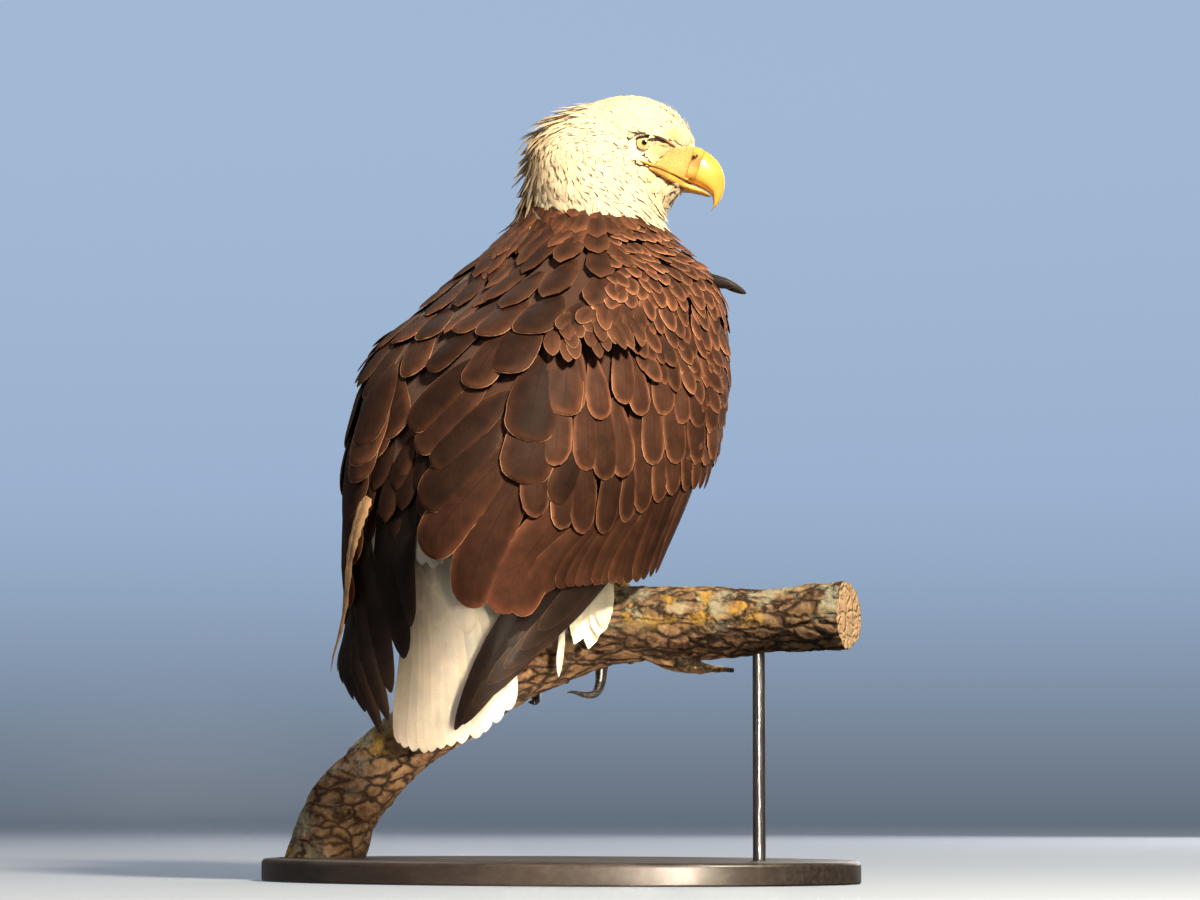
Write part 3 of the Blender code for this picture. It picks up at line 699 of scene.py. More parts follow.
def set_uv(item: bpy.types.Object, name: str, places: Array) -> None:
    """Stores a UV place for each vertex, copied to its face corners.

    Args:
        item: the object.
        name: the UV map's name.
        places: two numbers for each vertex.
    """
    mesh = item.data
    numbers = np.empty(len(mesh.loops), np.int32)
    mesh.loops.foreach_get("vertex_index", numbers)
    layer = mesh.uv_layers.new(name=name)
    layer.uv.foreach_set("vector", places[numbers].astype(np.float32).ravel())


def coat(name: str, parts: list[Down], finish: Finish, slot: str) -> bpy.types.Object:
    """Makes one coat piece out of laid vanes.

    Args:
        name: the piece's name.
        parts: lots of vanes.
        finish: what the vanes are finished with.
        slot: the record's material slot.

    Returns:
        The finished piece, riding on the root.
    """
    down = gather(parts)
    item = make_object(name, down.points, down.corners, down.totals)
    set_uv(item, "OFBake", down.bake)
    set_uv(item, "Vane", down.vane)
    return seat(item, finish, slot, Tint=down.tint, Tone=down.tone, Fringe=down.fringe,
                Reach=down.reach, Ahead=down.ahead)


def seat(item: bpy.types.Object, finish: Finish, slot: str, replaced: tuple[str, ...] = (),
         **marks: Array | float) -> bpy.types.Object:
    """Marks and finishes a piece, rides it on the root and reports it.

    Args:
        item: the piece.
        finish: what it is finished with.
        slot: the record's material slot; not used.
        replaced: nodes that it stands for.
        marks: what is stored on its vertices, by the mark's name.

    Returns:
        The piece.
    """
    for name, values in marks.items():
        set_mark(item, name, values)
    item.data.materials.append(finish.build())
    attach(item, "root")
    if replaced:
        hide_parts(*replaced)
    triangles = len(item.data.loops) - 2 * len(item.data.polygons)
    LOG.info("%s: %d triangles", item.name, triangles)
    return item


def loft(name: str, rings: Array, sharp: float = 60.0, hoop: bool = False) -> bpy.types.Object:
    """A closed skin through rings of equal length, its end rings closed to their middles.

    Args:
        name: the object's name.
        rings: rings, points, xyz.
        sharp: edges over this angle in degrees stay crisp.
        hoop: the last ring joins the first, and there are no ends.

    Returns:
        The new object, its faces turned outwards.
    """
    rings = np.asarray(rings, float)
    count, ring = rings.shape[:2]
    faces = [ring_quads(count, ring, hoop)]
    points = rings.reshape(-1, 3)
    if not hoop:
        around = np.arange(ring)
        beside, final = (around + 1) % ring, (count - 1) * ring
        first, last = np.full(ring, count * ring), np.full(ring, count * ring + 1)
        faces.append(np.stack([beside, around, first], -1))
        faces.append(np.stack([final + around, final + beside, last], -1))
        points = np.concatenate([points, rings[[0, -1]].mean(axis=1)])
    middle = rings.mean(axis=1)
    flow = np.roll(middle, -1, axis=0) - middle
    flow[-1] = flow[-1] if hoop else flow[-2]
    spin = np.cross(rings - middle[:, None], np.roll(rings, -1, axis=1) - middle[:, None])
    if np.sum(spin * flow[:, None]) < 0:
        faces = [lot[:, ::-1] for lot in faces]
    corners = np.concatenate([lot.ravel() for lot in faces])
    totals = np.concatenate([np.full(len(lot), lot.shape[1]) for lot in faces])
    return make_object(name, points, corners, totals, sharp)


def fuse(name: str, parts: list[bpy.types.Object], voxel: float, passes: int) -> bpy.types.Object:
    """Joins closed forms into one skin by voxels and smooths it.

    Args:
        name: the piece's name.
        parts: the forms, which are used up.
        voxel: size of a voxel.
        passes: smoothing passes.

    Returns:
        The joined object.
    """
    with bpy.context.temp_override(active_object=parts[0], object=parts[0],
                                   selected_editable_objects=parts, selected_objects=parts):
        bpy.ops.object.join()
    item = parts[0]
    item.name = name
    remesh = item.modifiers.new("whole", "REMESH")
    remesh.mode, remesh.voxel_size = "VOXEL", voxel
    soften = item.modifiers.new("soften", "SMOOTH")
    soften.factor, soften.iterations = 0.5, passes
    graph = bpy.context.evaluated_depsgraph_get()
    mesh = bpy.data.meshes.new_from_object(item.evaluated_get(graph))
    item.modifiers.clear()
    item.data = mesh
    mesh.name = name
    mesh.materials.clear()
    mesh.shade_smooth()
    return item


# --------------------------------------------------------------------------- finishes

@dataclass(frozen=True)
class Wire:
    """What comes out of a node. Arithmetic on wires adds nodes to their shader."""

    shader: "Shader"
    socket: bpy.types.NodeSocket

    def __add__(self, other: "Wire | float") -> "Wire":
        """Sum."""
        return self.shader.math("ADD", self, other)

    def __sub__(self, other: "Wire | float") -> "Wire":
        """Difference."""
        return self.shader.math("SUBTRACT", self, other)

    def __rsub__(self, other: float) -> "Wire":
        """Difference from a number."""
        return self.shader.math("SUBTRACT", other, self)

    def __mul__(self, other: "Wire | float") -> "Wire":
        """Product."""
        return self.shader.math("MULTIPLY", self, other)

    def __truediv__(self, other: "Wire | float") -> "Wire":
        """Ratio."""
        return self.shader.math("DIVIDE", self, other)


class Shader:
    """A node material being wired up."""

    def __init__(self, name: str, **fixed: float | tuple) -> None:
        """Starts from a Principled shader.

        Args:
            name: the material's name.
            fixed: values of sockets, the spaces of their names given as underscores.
        """
        self.material = bpy.data.materials.new(name)
        self.material.use_nodes = True
        self.tree = self.material.node_tree
        self.surface = self.tree.nodes["Principled BSDF"]
        for socket, value in fixed.items():
            self.surface.inputs[socket.replace("_", " ")].default_value = value

    def feed(self, socket: bpy.types.NodeSocket, value: Wire | Colour | float) -> None:
        """Links a wire to a socket, or sets the socket's value.

        Args:
            socket: where the value goes in.
            value: a wire, a number, a vector or a colour.
        """
        if isinstance(value, Wire):
            self.tree.links.new(value.socket, socket)
        elif socket.type == "RGBA":
            socket.default_value = (*value, 1.0)
        else:
            socket.default_value = value

    def node(self, kind: str, output: str | int, inputs: dict, **settings: object) -> Wire:
        """Adds a node.

        Args:
            kind: the node's type without its first word.
            output: which of its outputs is wanted.
            inputs: what is fed to it, by socket.
            settings: the node's own settings.

        Returns:
            The output.
        """
        made = self.tree.nodes.new("ShaderNode" + kind)
        for key, value in settings.items():
            setattr(made, key, value)
        for key, value in inputs.items():
            self.feed(made.inputs[key], value)
        return Wire(self, made.outputs[output])

    def math(self, operation: str, a: Wire | float, b: Wire | float = 0.0) -> Wire:
        """One step of arithmetic."""
        return self.node("Math", 0, {0: a, 1: b}, operation=operation)

    def vectors(self, operation: str, *inputs: Wire | Colour) -> Wire:
        """One step of arithmetic on vectors or colours."""
        output = "Value" if operation == "DOT_PRODUCT" else "Vector"
        return self.node("VectorMath", output, dict(enumerate(inputs)), operation=operation)

    def ramp(self, value: Wire, low: float, high: float, to_low: float = 0.0,
             to_high: float = 1.0) -> Wire:
        """Smooth step of a value between two limits.

        Args:
            value: what is read.
            low: value at which the step starts.
            high: value at which it ends.
            to_low: result at the start.
            to_high: result at the end.

        Returns:
            The result.
        """
        return self.node("MapRange", "Result", {"Value": value, "From Min": low, "From Max": high,
                                                "To Min": to_low, "To Max": to_high},
                         interpolation_type="SMOOTHSTEP")

    def blend(self, factor: Wire, first: Wire | Colour, second: Wire | Colour) -> Wire:
        """Mix of two colours; the factor is the share of the second."""
        return self.node("Mix", 2, {0: factor, 6: first, 7: second}, data_type="RGBA")

    def scale(self, colour: Wire | Colour, factor: Wire) -> Wire:
        """A colour made lighter or darker."""
        return self.node("VectorMath", "Vector", {0: colour, "Scale": factor}, operation="SCALE")

    def place(self) -> Wire:
        """Object coordinates."""
        return self.node("TexCoord", "Object", {})

    def part(self, vector: Wire, axis: str) -> Wire:
        """One of a vector's three numbers."""
        return self.node("SeparateXYZ", axis, {"Vector": vector})

    def mapped(self, kind: str = "POINT", **inputs: tuple) -> Wire:
        """Object coordinates moved, turned or scaled."""
        return self.node("Mapping", 0, {"Vector": self.place(), **inputs}, vector_type=kind)

    def noise(self, scale: float, detail: float = 3.0, vector: Wire | None = None,
              rough: float = 0.55, output: str = "Fac") -> Wire:
        """Soft noise.

        Args:
            scale: how fine it is.
            detail: number of finer layers.
            vector: coordinates, the object's own if none are given.
            rough: weight of the finer layers.
            output: a number or a colour.

        Returns:
            The noise.
        """
        vector = self.place() if vector is None else vector
        return self.node("TexNoise", output, {"Vector": vector, "Scale": scale, "Detail": detail,
                                              "Roughness": rough})

    def line_noise(self, along: Wire, rough: float = 0.5) -> Wire:
        """Soft noise along a number."""
        return self.node("TexNoise", "Fac", {"W": along, "Scale": 1.0, "Detail": 3.0,
                                             "Roughness": rough}, noise_dimensions="1D")

    def cells(self, scale: float, vector: Wire) -> Wire:
        """Distance from the edges of Voronoi cells."""
        return self.node("TexVoronoi", "Distance", {"Vector": vector, "Scale": scale},
                         feature="DISTANCE_TO_EDGE")

    def mark(self, name: str, output: str = "Fac") -> Wire:
        """A number or colour stored on the mesh."""
        return self.node("Attribute", output, {}, attribute_name=name)

    def done(self, colour: Wire, roughness: Wire | None = None, relief: Wire | None = None,
             depth: float = 0.0003, strength: float = 1.0) -> bpy.types.Material:
        """Links colour, roughness and relief.

        Args:
            colour: the base colour.
            roughness: the roughness, if it isn't fixed.
            relief: a bump's height.
            depth: the bump's depth in metres.
            strength: the bump's strength.

        Returns:
            The material.
        """
        self.feed(self.surface.inputs["Base Color"], colour)
        if roughness is not None:
            self.feed(self.surface.inputs["Roughness"], roughness)
        if relief is not None:
            bump = self.node("Bump", "Normal", {"Height": relief, "Distance": depth,
                                                "Strength": strength})
            self.feed(self.surface.inputs["Normal"], bump)
        return self.material


@dataclass(frozen=True)
class VaneFinish:
    """Feather vanes: slanted barbs, a shaft, a darker middle, a redder margin and a thin
    worn pale edge. zone and edge are the widths of margin and edge in millimetres, read
    from the distance to the vane's outline; margin multiplies the feather's own colour."""

    name: str
    fringe: Colour = (0.60, 0.33, 0.17)
    margin: Colour = (2.6, 2.3, 1.9)
    zone: float = 9.0
    edge: float = 1.1
    warmth: float = 0.55
    streak: float = 0.12
    centre: float = 0.72
    shaft: float = 0.55
    shaft_colour: Colour = (0.014, 0.008, 0.006)
    roughness: float = 0.68
    barbs: float = 44.0
    mottle: float = 0.25
    variety: float = 0.235

    def build(self) -> bpy.types.Material:
        """Wires the finish.

        Returns:
            The material.
        """
        s = Shader(self.name, Roughness=self.roughness, Specular_IOR_Level=0.16)
        vane = s.node("UVMap", "UV", {}, uv_map="Vane")
        along, off = s.part(vane, "Y"), s.math("ABSOLUTE", s.part(vane, "X") * 2.0 - 1.0)
        tone, tint, mottle = s.mark("Tone"), s.mark("Tint", "Color"), s.noise(55.0)
        barb = s.line_noise(along * self.barbs - off * (self.barbs * 0.22) + tone * 97.0, 0.6)
        light = (s.ramp(barb, 0.25, 0.75, 1 - self.streak, 1 + self.streak)
                 * s.ramp(mottle, 0.3, 0.7, 1 - self.mottle, 1 + self.mottle)
                 * s.ramp(tone, 0.0, 1.0, 1 - self.variety, 1 + self.variety))
        side_gap, tip_gap = (1.0 - off) * s.mark("Reach"), s.mark("Ahead")
        far = s.math("SQRT", side_gap * side_gap + tip_gap * tip_gap + 0.001)
        gap = side_gap * tip_gap / far * s.ramp(barb, 0.2, 0.8, 0.75, 1.3)
        middle = s.ramp(gap, 0.0, self.zone * 1.3, 1.12, self.centre)
        tipward = s.ramp(along, 0.35, 0.92)
        zone = s.ramp(gap, self.zone, self.zone * 0.08) * (tipward * 0.7 + 0.3) * self.warmth
        edge = s.ramp(gap, self.edge, self.edge * 0.30) * s.mark("Fringe") * (tipward * 0.8 + 0.2)
        edge = edge * s.ramp(mottle, 0.25, 0.6, 0.55, 1.0)
        quill = s.ramp(off, 0.060, 0.015) * s.ramp(along, 0.95, 0.75)
        margin = s.vectors("MULTIPLY", s.scale(tint, light), self.margin)
        colour = s.blend(zone, s.scale(tint, light * middle), margin)
        colour = s.blend(edge, colour, s.scale(self.fringe, light))
        colour = s.blend(quill * self.shaft, colour, self.shaft_colour)
        return s.done(colour, None, barb + quill, 0.00020, 0.55)


BACK_VANES = VaneFinish("brown_back_vanes", shaft=0.35)
COVERT_VANES = VaneFinish("rufous_covert_vanes", zone=5.0, edge=0.80, warmth=0.75, centre=0.72,
                          margin=(3.5, 3.1, 2.5), fringe=(0.68, 0.45, 0.28), shaft=0.3)
QUILL_VANES = VaneFinish("dark_flight_vanes", fringe=(0.50, 0.28, 0.16), edge=0.7, warmth=0.45,
                         margin=(2.2, 2.0, 1.7), shaft=0.5, barbs=60.0, centre=0.85, roughness=0.48)
BREAST_VANES = VaneFinish("brown_breast_vanes", zone=7.0, shaft=0.3, warmth=0.7)
STRAY_VANES = VaneFinish("buff_stray_vanes", fringe=(0.30, 0.13, 0.06), margin=(0.9, 0.8, 0.75),
                         zone=3.0, edge=0.8, centre=1.0, shaft=0.7, barbs=40.0)
WHITE_VANES = VaneFinish("white_tail_vanes", fringe=(0.90, 0.80, 0.60), margin=(1.02, 1.02, 1.02),
                         warmth=0.3, streak=0.06, centre=0.95, shaft=0.22,
                         shaft_colour=(0.72, 0.62, 0.46), barbs=60.0, mottle=0.05,
                         variety=0.05, roughness=0.62)
HACKLES = VaneFinish("white_head_vanes", fringe=(0.90, 0.81, 0.60), margin=(1.02, 1.02, 1.02),
                     zone=1.5, edge=0.5, warmth=0.3, streak=0.08, centre=0.96, shaft=0.0,
                     barbs=9.0, mottle=0.05, variety=0.06, roughness=0.65)


@dataclass(frozen=True)
class SkinFinish:
    """Down-covered skin that carries the plumage's markings as a stored colour."""

    name: str = "downy_skin"

    def build(self) -> bpy.types.Material:
        """Wires the finish.

        Returns:
            The material.
        """
        s = Shader(self.name, Roughness=0.8, Sheen_Weight=0.15, Specular_IOR_Level=0.25)
        fine = s.noise(520.0, 4.0)
        colour = s.scale(s.mark("Tint", "Color"), s.ramp(fine, 0.3, 0.7, 0.8, 1.15))
        return s.done(colour, None, fine, 0.0006, 0.7)


@dataclass(frozen=True)
class HornFinish:
    """Bill and talon horn: a base colour shaded to another by the Shade mark, which is painted shade on
    the brow and in the nostril, with faint growth lines.
    """

    name: str
    base: Colour
    deep: Colour
    roughness: float = 0.34
    line_scale: float = 260.0
    coat: float = 0.15

    def build(self) -> bpy.types.Material:
        """Wires the finish.

        Returns:
            The material.
        """
        s = Shader(self.name, Roughness=self.roughness, Coat_Weight=self.coat, Coat_Roughness=0.2)
        lines = s.noise(self.line_scale, 3.0, s.mapped(Scale=(1.0, 1.0, 3.0)))
        cloud = s.ramp(s.noise(60.0, 2.0), 0.35, 0.75)
        colour = s.blend(cloud * 0.55, self.base, self.deep)
        colour = s.blend(s.mark("Shade"), colour, self.deep)
        rough = s.ramp(lines, 0.2, 0.8, self.roughness - 0.08, self.roughness + 0.14)
        return s.done(colour, rough, lines, 0.00018, 0.5)


@dataclass(frozen=True)
class IrisFinish:
    """Dark pupil, pale yellow iris with fine spokes, and a dark rim, by the distance from
    the line of sight."""

    name: str

    def build(self) -> bpy.types.Material:
        """Wires the finish.

        Returns:
            The material.
        """
        s = Shader(self.name, Roughness=0.12, Coat_Weight=0.9, Coat_Roughness=0.02,
                   Specular_IOR_Level=0.5)
        ahead = s.vectors("DOT_PRODUCT", s.place(), (-HEAD_COS, -HEAD_COS, 0.0))
        ahead, above = ahead - (EYE_FORWARD + 0.0004), s.part(s.place(), "Z") - (EYE_HEIGHT + 0.0002)
        away = s.math("SQRT", ahead * ahead + above * above)
        spoke = s.line_noise(s.math("ARCTAN2", above, ahead) * 9.0)
        iris = s.blend(s.ramp(spoke, 0.3, 0.7), (0.62, 0.48, 0.17), (0.86, 0.76, 0.40))
        inner = s.blend(s.ramp(away, 0.0026, 0.0040), (0.50, 0.34, 0.10), iris)
        colour = s.blend(s.ramp(away, 0.0023, 0.0027), (0.004, 0.004, 0.004), inner)
        colour = s.blend(s.ramp(away, 0.0066, 0.0078), colour, (0.030, 0.016, 0.008))
        return s.done(colour)


@dataclass(frozen=True)
class ScalyFinish:
    """Yellow toe skin of small raised scales with darker creases."""

    name: str = "scaly_toe_skin"
    base: Colour = (0.78, 0.47, 0.085)
    crease: Colour = (0.34, 0.17, 0.045)

    def build(self) -> bpy.types.Material:
        """Wires the finish.

        Returns:
            The material.
        """
        s = Shader(self.name, Roughness=0.5, Specular_IOR_Level=0.45)
        plate = s.ramp(s.cells(420.0, s.place()), 0.0, 0.16)
        grime = s.ramp(s.noise(90.0, 4.0), 0.42, 0.72)
        colour = s.blend(plate, self.crease, self.base)
        colour = s.blend(grime * 0.4, colour, self.crease)
        return s.done(colour, s.ramp(plate, 0.0, 1.0, 0.62, 0.42), plate, 0.0005, 0.8)


@dataclass(frozen=True)
class BarkFinish:
    """Furrowed brown bark with grey-green and orange-yellow lichen, and its cut wood."""

    name: str = "lichened_bark"

    def build(self) -> bpy.types.Material:
        """Wires the finish.

        Returns:
            The material.
        """
        s = Shader(self.name, Roughness=0.9, Specular_IOR_Level=0.2)
        coarse = s.noise(24.0, 6.0, rough=0.6)
        fine = s.noise(150.0, 6.0, rough=0.6)
        heading = math.atan2(BRANCH_HEADING[1], BRANCH_HEADING[0])
        drawn = s.mapped("TEXTURE", Rotation=(0.0, 0.0, heading), Scale=(2.6, 1.0, 1.0))
        wander = s.noise(60.0, 4.0, rough=0.5, output="Color")
        plates = s.cells(75.0, s.vectors("MULTIPLY_ADD", wander, (0.012, 0.012, 0.012), drawn))
        crack = s.ramp(plates, 0.0, 0.20)
        bark = s.blend(s.ramp(coarse, 0.35, 0.7), (0.085, 0.046, 0.024), (0.30, 0.180, 0.092))
        bark = s.blend(s.ramp(fine, 0.42, 0.80), bark, (0.34, 0.22, 0.125))
        bark = s.blend(crack, (0.030, 0.018, 0.012), bark)
        upward = s.mark("Upward")
        grey = s.ramp(s.noise(30.0, 7.0, rough=0.7), 0.48, 0.60) * upward
        colour = s.blend(grey * 0.75, bark, (0.36, 0.35, 0.245))
        shifted = s.mapped(Location=(3.1, 1.7, 0.4))
        gold = s.ramp(s.noise(26.0, 8.0, shifted, 0.7), 0.535, 0.62) * upward
        colour = s.blend(gold * 0.8, colour, (0.50, 0.29, 0.045))
        wood = s.blend(s.ramp(fine, 0.3, 0.7), (0.42, 0.27, 0.15), (0.55, 0.38, 0.22))
        colour = s.blend(s.mark("Cut"), colour, wood)
        return s.done(colour, None, crack * 0.8 + coarse + fine, 0.0022, 0.9)


@dataclass(frozen=True)
class StandFinish:
    """Ebonised wood or blued steel of the display stand."""

    name: str
    base: Colour
    worn: Colour
    roughness: float
    metal: float = 0.0
    grain: tuple[float, float, float] = (6.0, 60.0, 60.0)

    def build(self) -> bpy.types.Material:
        """Wires the finish.

        Returns:
            The material.
        """
        s = Shader(self.name, Roughness=self.roughness, Metallic=self.metal, Coat_Weight=0.12,
                   Coat_Roughness=0.25)
        along = s.mapped(Scale=self.grain, Rotation=(0.0, 0.0, math.radians(-20)))
        grain = s.noise(3.0, 6.0, along, 0.65)
        colour = s.blend(s.ramp(grain, 0.35, 0.75), self.base, self.worn)
        rough = s.ramp(grain, 0.3, 0.7, self.roughness - 0.06, self.roughness + 0.10)
        return s.done(colour, rough, grain, 0.0002, 0.35)


# ---------------------------------------------------------------------------- plumage

WING_TOP_HEIGHT, WING_LOW_HEIGHT = 0.645, 0.100


def wing_surface(side: Side) -> Surface:
    """One side's folded plumage: turn 0 to 180 degrees across, height downwards.

    Args:
        side: the side of the body.

    Returns:
        The surface.
    """
    turn = np.radians(np.linspace(0, 180, 121))
    height = np.linspace(WING_TOP_HEIGHT, WING_LOW_HEIGHT, 140)
    points = on_plumage(height[:, None], turn[None, :], 0.0, side)
    chart = (0.02, 0.02, 0.30, 0.60) if side is Side.RIGHT else (0.32, 0.02, 0.60, 0.60)
    return Surface(points, chart, inside=np.array([0.0, 0.02, 0.35]))


def trunk_surface() -> Surface:
    """Breast and belly, from under the neck down to the middle of the underside.

    Returns:
        The surface.
    """
    turn = np.linspace(-math.pi, math.pi, 145)
    height = np.concatenate([np.linspace(0.612, 0.40, 40)[:-1], np.linspace(0.40, 0.289, 46)])
    side_rows = trunk_point(height[:, None], turn[None, :], 0.002)
    last = side_rows[-1]
    middle = last.mean(axis=0)
    under = [middle + (last - middle) * share for share in (0.8, 0.6, 0.4, 0.2)]
    return Surface(np.concatenate([side_rows, np.stack(under)]), (0.02, 0.62, 0.60, 0.98), True)


def head_sculpt(points: Array) -> Array:
    """Swelling of the head outwards at each point: a hollow round the eye, a brow ridge
    over it, a sunk lore and a full cheek, each a bell curve of the distance from its place.

    Args:
        points: points on the plain head.

    Returns:
        Distances outwards in metres.
    """
    forward, height, lateral = np.moveaxis(in_head(points), -1, 0)

    def bell(at_forward: float, at_height: float, wide: float) -> Array:
        """Bell curve of the distance from a place in the head's side view."""
        gap = (forward - at_forward) ** 2 + (height - at_height) ** 2
        return np.exp(-gap / (2 * wide**2))

    start, end = np.array([0.062, 0.7165]), np.array([0.112, 0.6985])
    run = end - start
    part = np.clip(((forward - start[0]) * run[0] + (height - start[1]) * run[1]) / (run @ run), 0, 1)
    off = np.hypot(forward - start[0] - part * run[0], height - start[1] - part * run[1])
    ridge = np.exp(-(off / 0.0040) ** 2) * (0.35 + 0.65 * np.sin(np.pi * (0.15 + 0.8 * part)))
    swell = (-0.0060 * bell(EYE_FORWARD, EYE_HEIGHT - 0.001, 0.0085) + 0.0052 * ridge
             - 0.0028 * bell(0.115, 0.689, 0.0075) + 0.0020 * bell(0.068, 0.670, 0.015))
    return swell * ease((np.abs(lateral) - 0.008) / 0.014)


def head_sections(count: int, around: int, inset: float) -> Array:
    """Sections fanned from the face back over the crown and down the neck.

    Args:
        count: number of sections.
        around: points in a section.
        inset: depth under the feathers at the neck; less towards the face.

    Returns:
        The sections, points, xyz; the first section is the face's.
    """
    table = [(float(place), *row) for place, row in enumerate(HEAD_STATIONS)]
    place = np.linspace(len(table) - 1, 0, count)
    top_f, top_z, low_f, low_z, width, yaw = smooth(table, place).T
    top, low = head_point(top_f, top_z), head_point(low_f, low_z)
    yaw, pitch = np.radians(yaw), np.arctan2(top_z - low_z, low_f - top_f)
    zero = np.zeros(count)
    facing = np.stack([-np.sin(yaw), -np.cos(yaw), zero], -1)
    upward = -np.cos(pitch)[:, None] * facing + np.sin(pitch)[:, None] * UP
    ahead = np.sin(pitch)[:, None] * facing + np.cos(pitch)[:, None] * UP
    side = np.cross(ahead, upward)
    middle, half = ((top + low) / 2)[:, None], np.linalg.norm(top - low, axis=1) / 2
    depth = inset * (0.28 + 0.72 * ease(np.linspace(0, 1, count) / 0.8))
    turn = np.linspace(0, math.tau, around)
    up, across = np.cos(turn), np.sin(turn)
    tall, wide = (half - depth)[:, None], (width - depth)[:, None]
    power = 2.15
    radius = (np.abs(up / tall) ** power + np.abs(across / wide) ** power) ** (-1 / power)
    spoke = radius[..., None] * (up[:, None] * upward[:, None] + across[:, None] * side[:, None])
    points = middle + spoke
    return points + unit(spoke) * head_sculpt(points)[..., None]


def head_surface() -> Surface:
    """Head and neck, from the face at the top of the lie to the neck's foot."""
    return Surface(head_sections(150, 145, 0.0), (0.62, 0.50, 0.98, 0.98), True)


def tail_tip(spread: Array) -> Array:
    """Height of the tail's end: a parabola over the spread from -1 to 1, a little slanted."""
    return 0.118 + 0.030 * spread**2 - 0.0145 * spread


def tail_plane(rear: bool) -> Surface:
    """Upper or under face of the fanned tail, from root to tip.

    Args:
        rear: the upper face, which looks back.

    Returns:
        The surface.
    """
    spread = np.linspace(-1, 1, 41)[None, :]
    part = np.linspace(0, 1, 60)[:, None]
    tip = tail_tip(spread)
    height = TAIL_TOP + (tip - TAIL_TOP) * part
    width = TAIL_ROOT_WIDTH + (TAIL_TIP_WIDTH - TAIL_ROOT_WIDTH) * part**1.1
    front, back = smooth(TAIL_SIDES, height.ravel()).T
    y = (back if rear else front).reshape(height.shape) - 0.006 * spread**2
    inside = np.array([0.0, 0.0 if rear else 0.3, 0.2])
    chart = (0.62, 0.02, 0.78, 0.46) if rear else (0.80, 0.02, 0.98, 0.46)
    return Surface(np.stack([width * spread, y, height], -1), chart, inside=inside)


def leg_surface(side: Side) -> Surface:
    """Feathered thigh, from inside the body down to the shank.

    Args:
        side: which leg.

    Returns:
        The surface.
    """
    rows = [(-z, half, x, y) for half, x, y, z in LEG[side.label]]
    drop = np.linspace(rows[0][0], rows[-1][0] + 0.010, 40)[:, None]
    half, x, y = smooth(rows, drop.ravel()).T[..., None]
    turn = np.linspace(0, math.tau, 49)
    points = np.stack(np.broadcast_arrays(
        x + 0.86 * half * np.cos(turn), y + half * np.sin(turn), -drop), -1)
    chart = (0.62, 0.47, 0.79, 0.495) if side is Side.RIGHT else (0.81, 0.47, 0.98, 0.495)
    return Surface(points, chart, True)


def brown(points: Array) -> Array:
    """Body plumage at each point: dark brown in soft patches, darker under the body.

    Args:
        points: places on the skin or at feathers' roots.

    Returns:
        Linear colours.
    """
    z = points[..., 2]
    patch = lattice_noise(points, 0.060, 8)[..., None]
    shade = ease((0.34 - z) / 0.06)[..., None] * 0.35
    return np.array(BROWN) * (1 + 0.22 * patch) * (1 - shade)


def markings(points: Array) -> Array:
    """Colour of the plumage at each point: white head, neck and tail with their coverts,
    brown elsewhere.

    Args:
        points: places on the skin or at feathers' roots.

    Returns:
        Linear colours.
    """
    _, y, z = np.moveaxis(points, -1, 0)
    ragged = 0.006 * lattice_noise(points, 0.012, 5)
    head = ease((z + ragged - (0.623 + 0.10 * (y + 0.05))) / 0.004)
    rump = ease((0.362 + ragged - z) / 0.004) * ease((y - 0.118) / 0.012)
    white = np.maximum(head, rump)[..., None]
    return brown(points) * (1 - white) + np.array(WHITE) * white


def white_tint(rng: np.random.Generator, count: int, low: float, high: float) -> Array:
    """White made a little lighter or darker for each feather."""
    return np.tile(WHITE, (count, 1)) * rng.uniform(low, high, (count, 1))


def scatter(surface: Surface, spacing: list, rng: np.random.Generator,
            first: float = 0.0, last: float = 1.0) -> tuple[Array, Array]:
    """Staggered rows of roots; where rows crowd together, roots are dropped by chance.

    Args:
        surface: what to cover.
        spacing: rows of v, spacing down and spacing across.
        rng: source of the jitter.
        first: v of the first row.
        last: v to stop at.

    Returns:
        u and v of the roots.
    """
    all_u, all_v, v, row = [], [], first, 0
    sample = np.linspace(0, 1, 241)
    while v < last:
        down, across = smooth(spacing, v)[0]
        points, _, slope, _ = surface.read(sample, np.full_like(sample, v))
        pace = np.linalg.norm(slope, axis=1)
        run = np.concatenate([[0], np.cumsum(np.linalg.norm(np.diff(points, axis=0), axis=1))])
        count = max(3, int(run[-1] / across))
        at = (np.arange(count) + 0.5 * (row % 2) + rng.uniform(-0.25, 0.25, count)) / count
        u = np.interp((at % 1) * run[-1], run, sample)
        usual = np.percentile(pace, 80)
        keep = rng.uniform(0, 1, count) < np.interp(u, sample, pace) / usual * 1.25
        jitter = rng.uniform(-0.3, 0.3, count) * down / usual
        all_u.append(u[keep])
        all_v.append((v + jitter)[keep])
        v += down / usual
        row += 1
    return np.concatenate(all_u), np.concatenate(all_v)


def wing_place(turn: Array, height: Array) -> tuple[Array, Array]:
    """u and v on a wing surface.

    Args:
        turn: degrees from the middle of the back.
        height: height z.

    Returns:
        u and v.
    """
    return (np.asarray(turn) / 180,
            (WING_TOP_HEIGHT - np.asarray(height)) / (WING_TOP_HEIGHT - WING_LOW_HEIGHT))


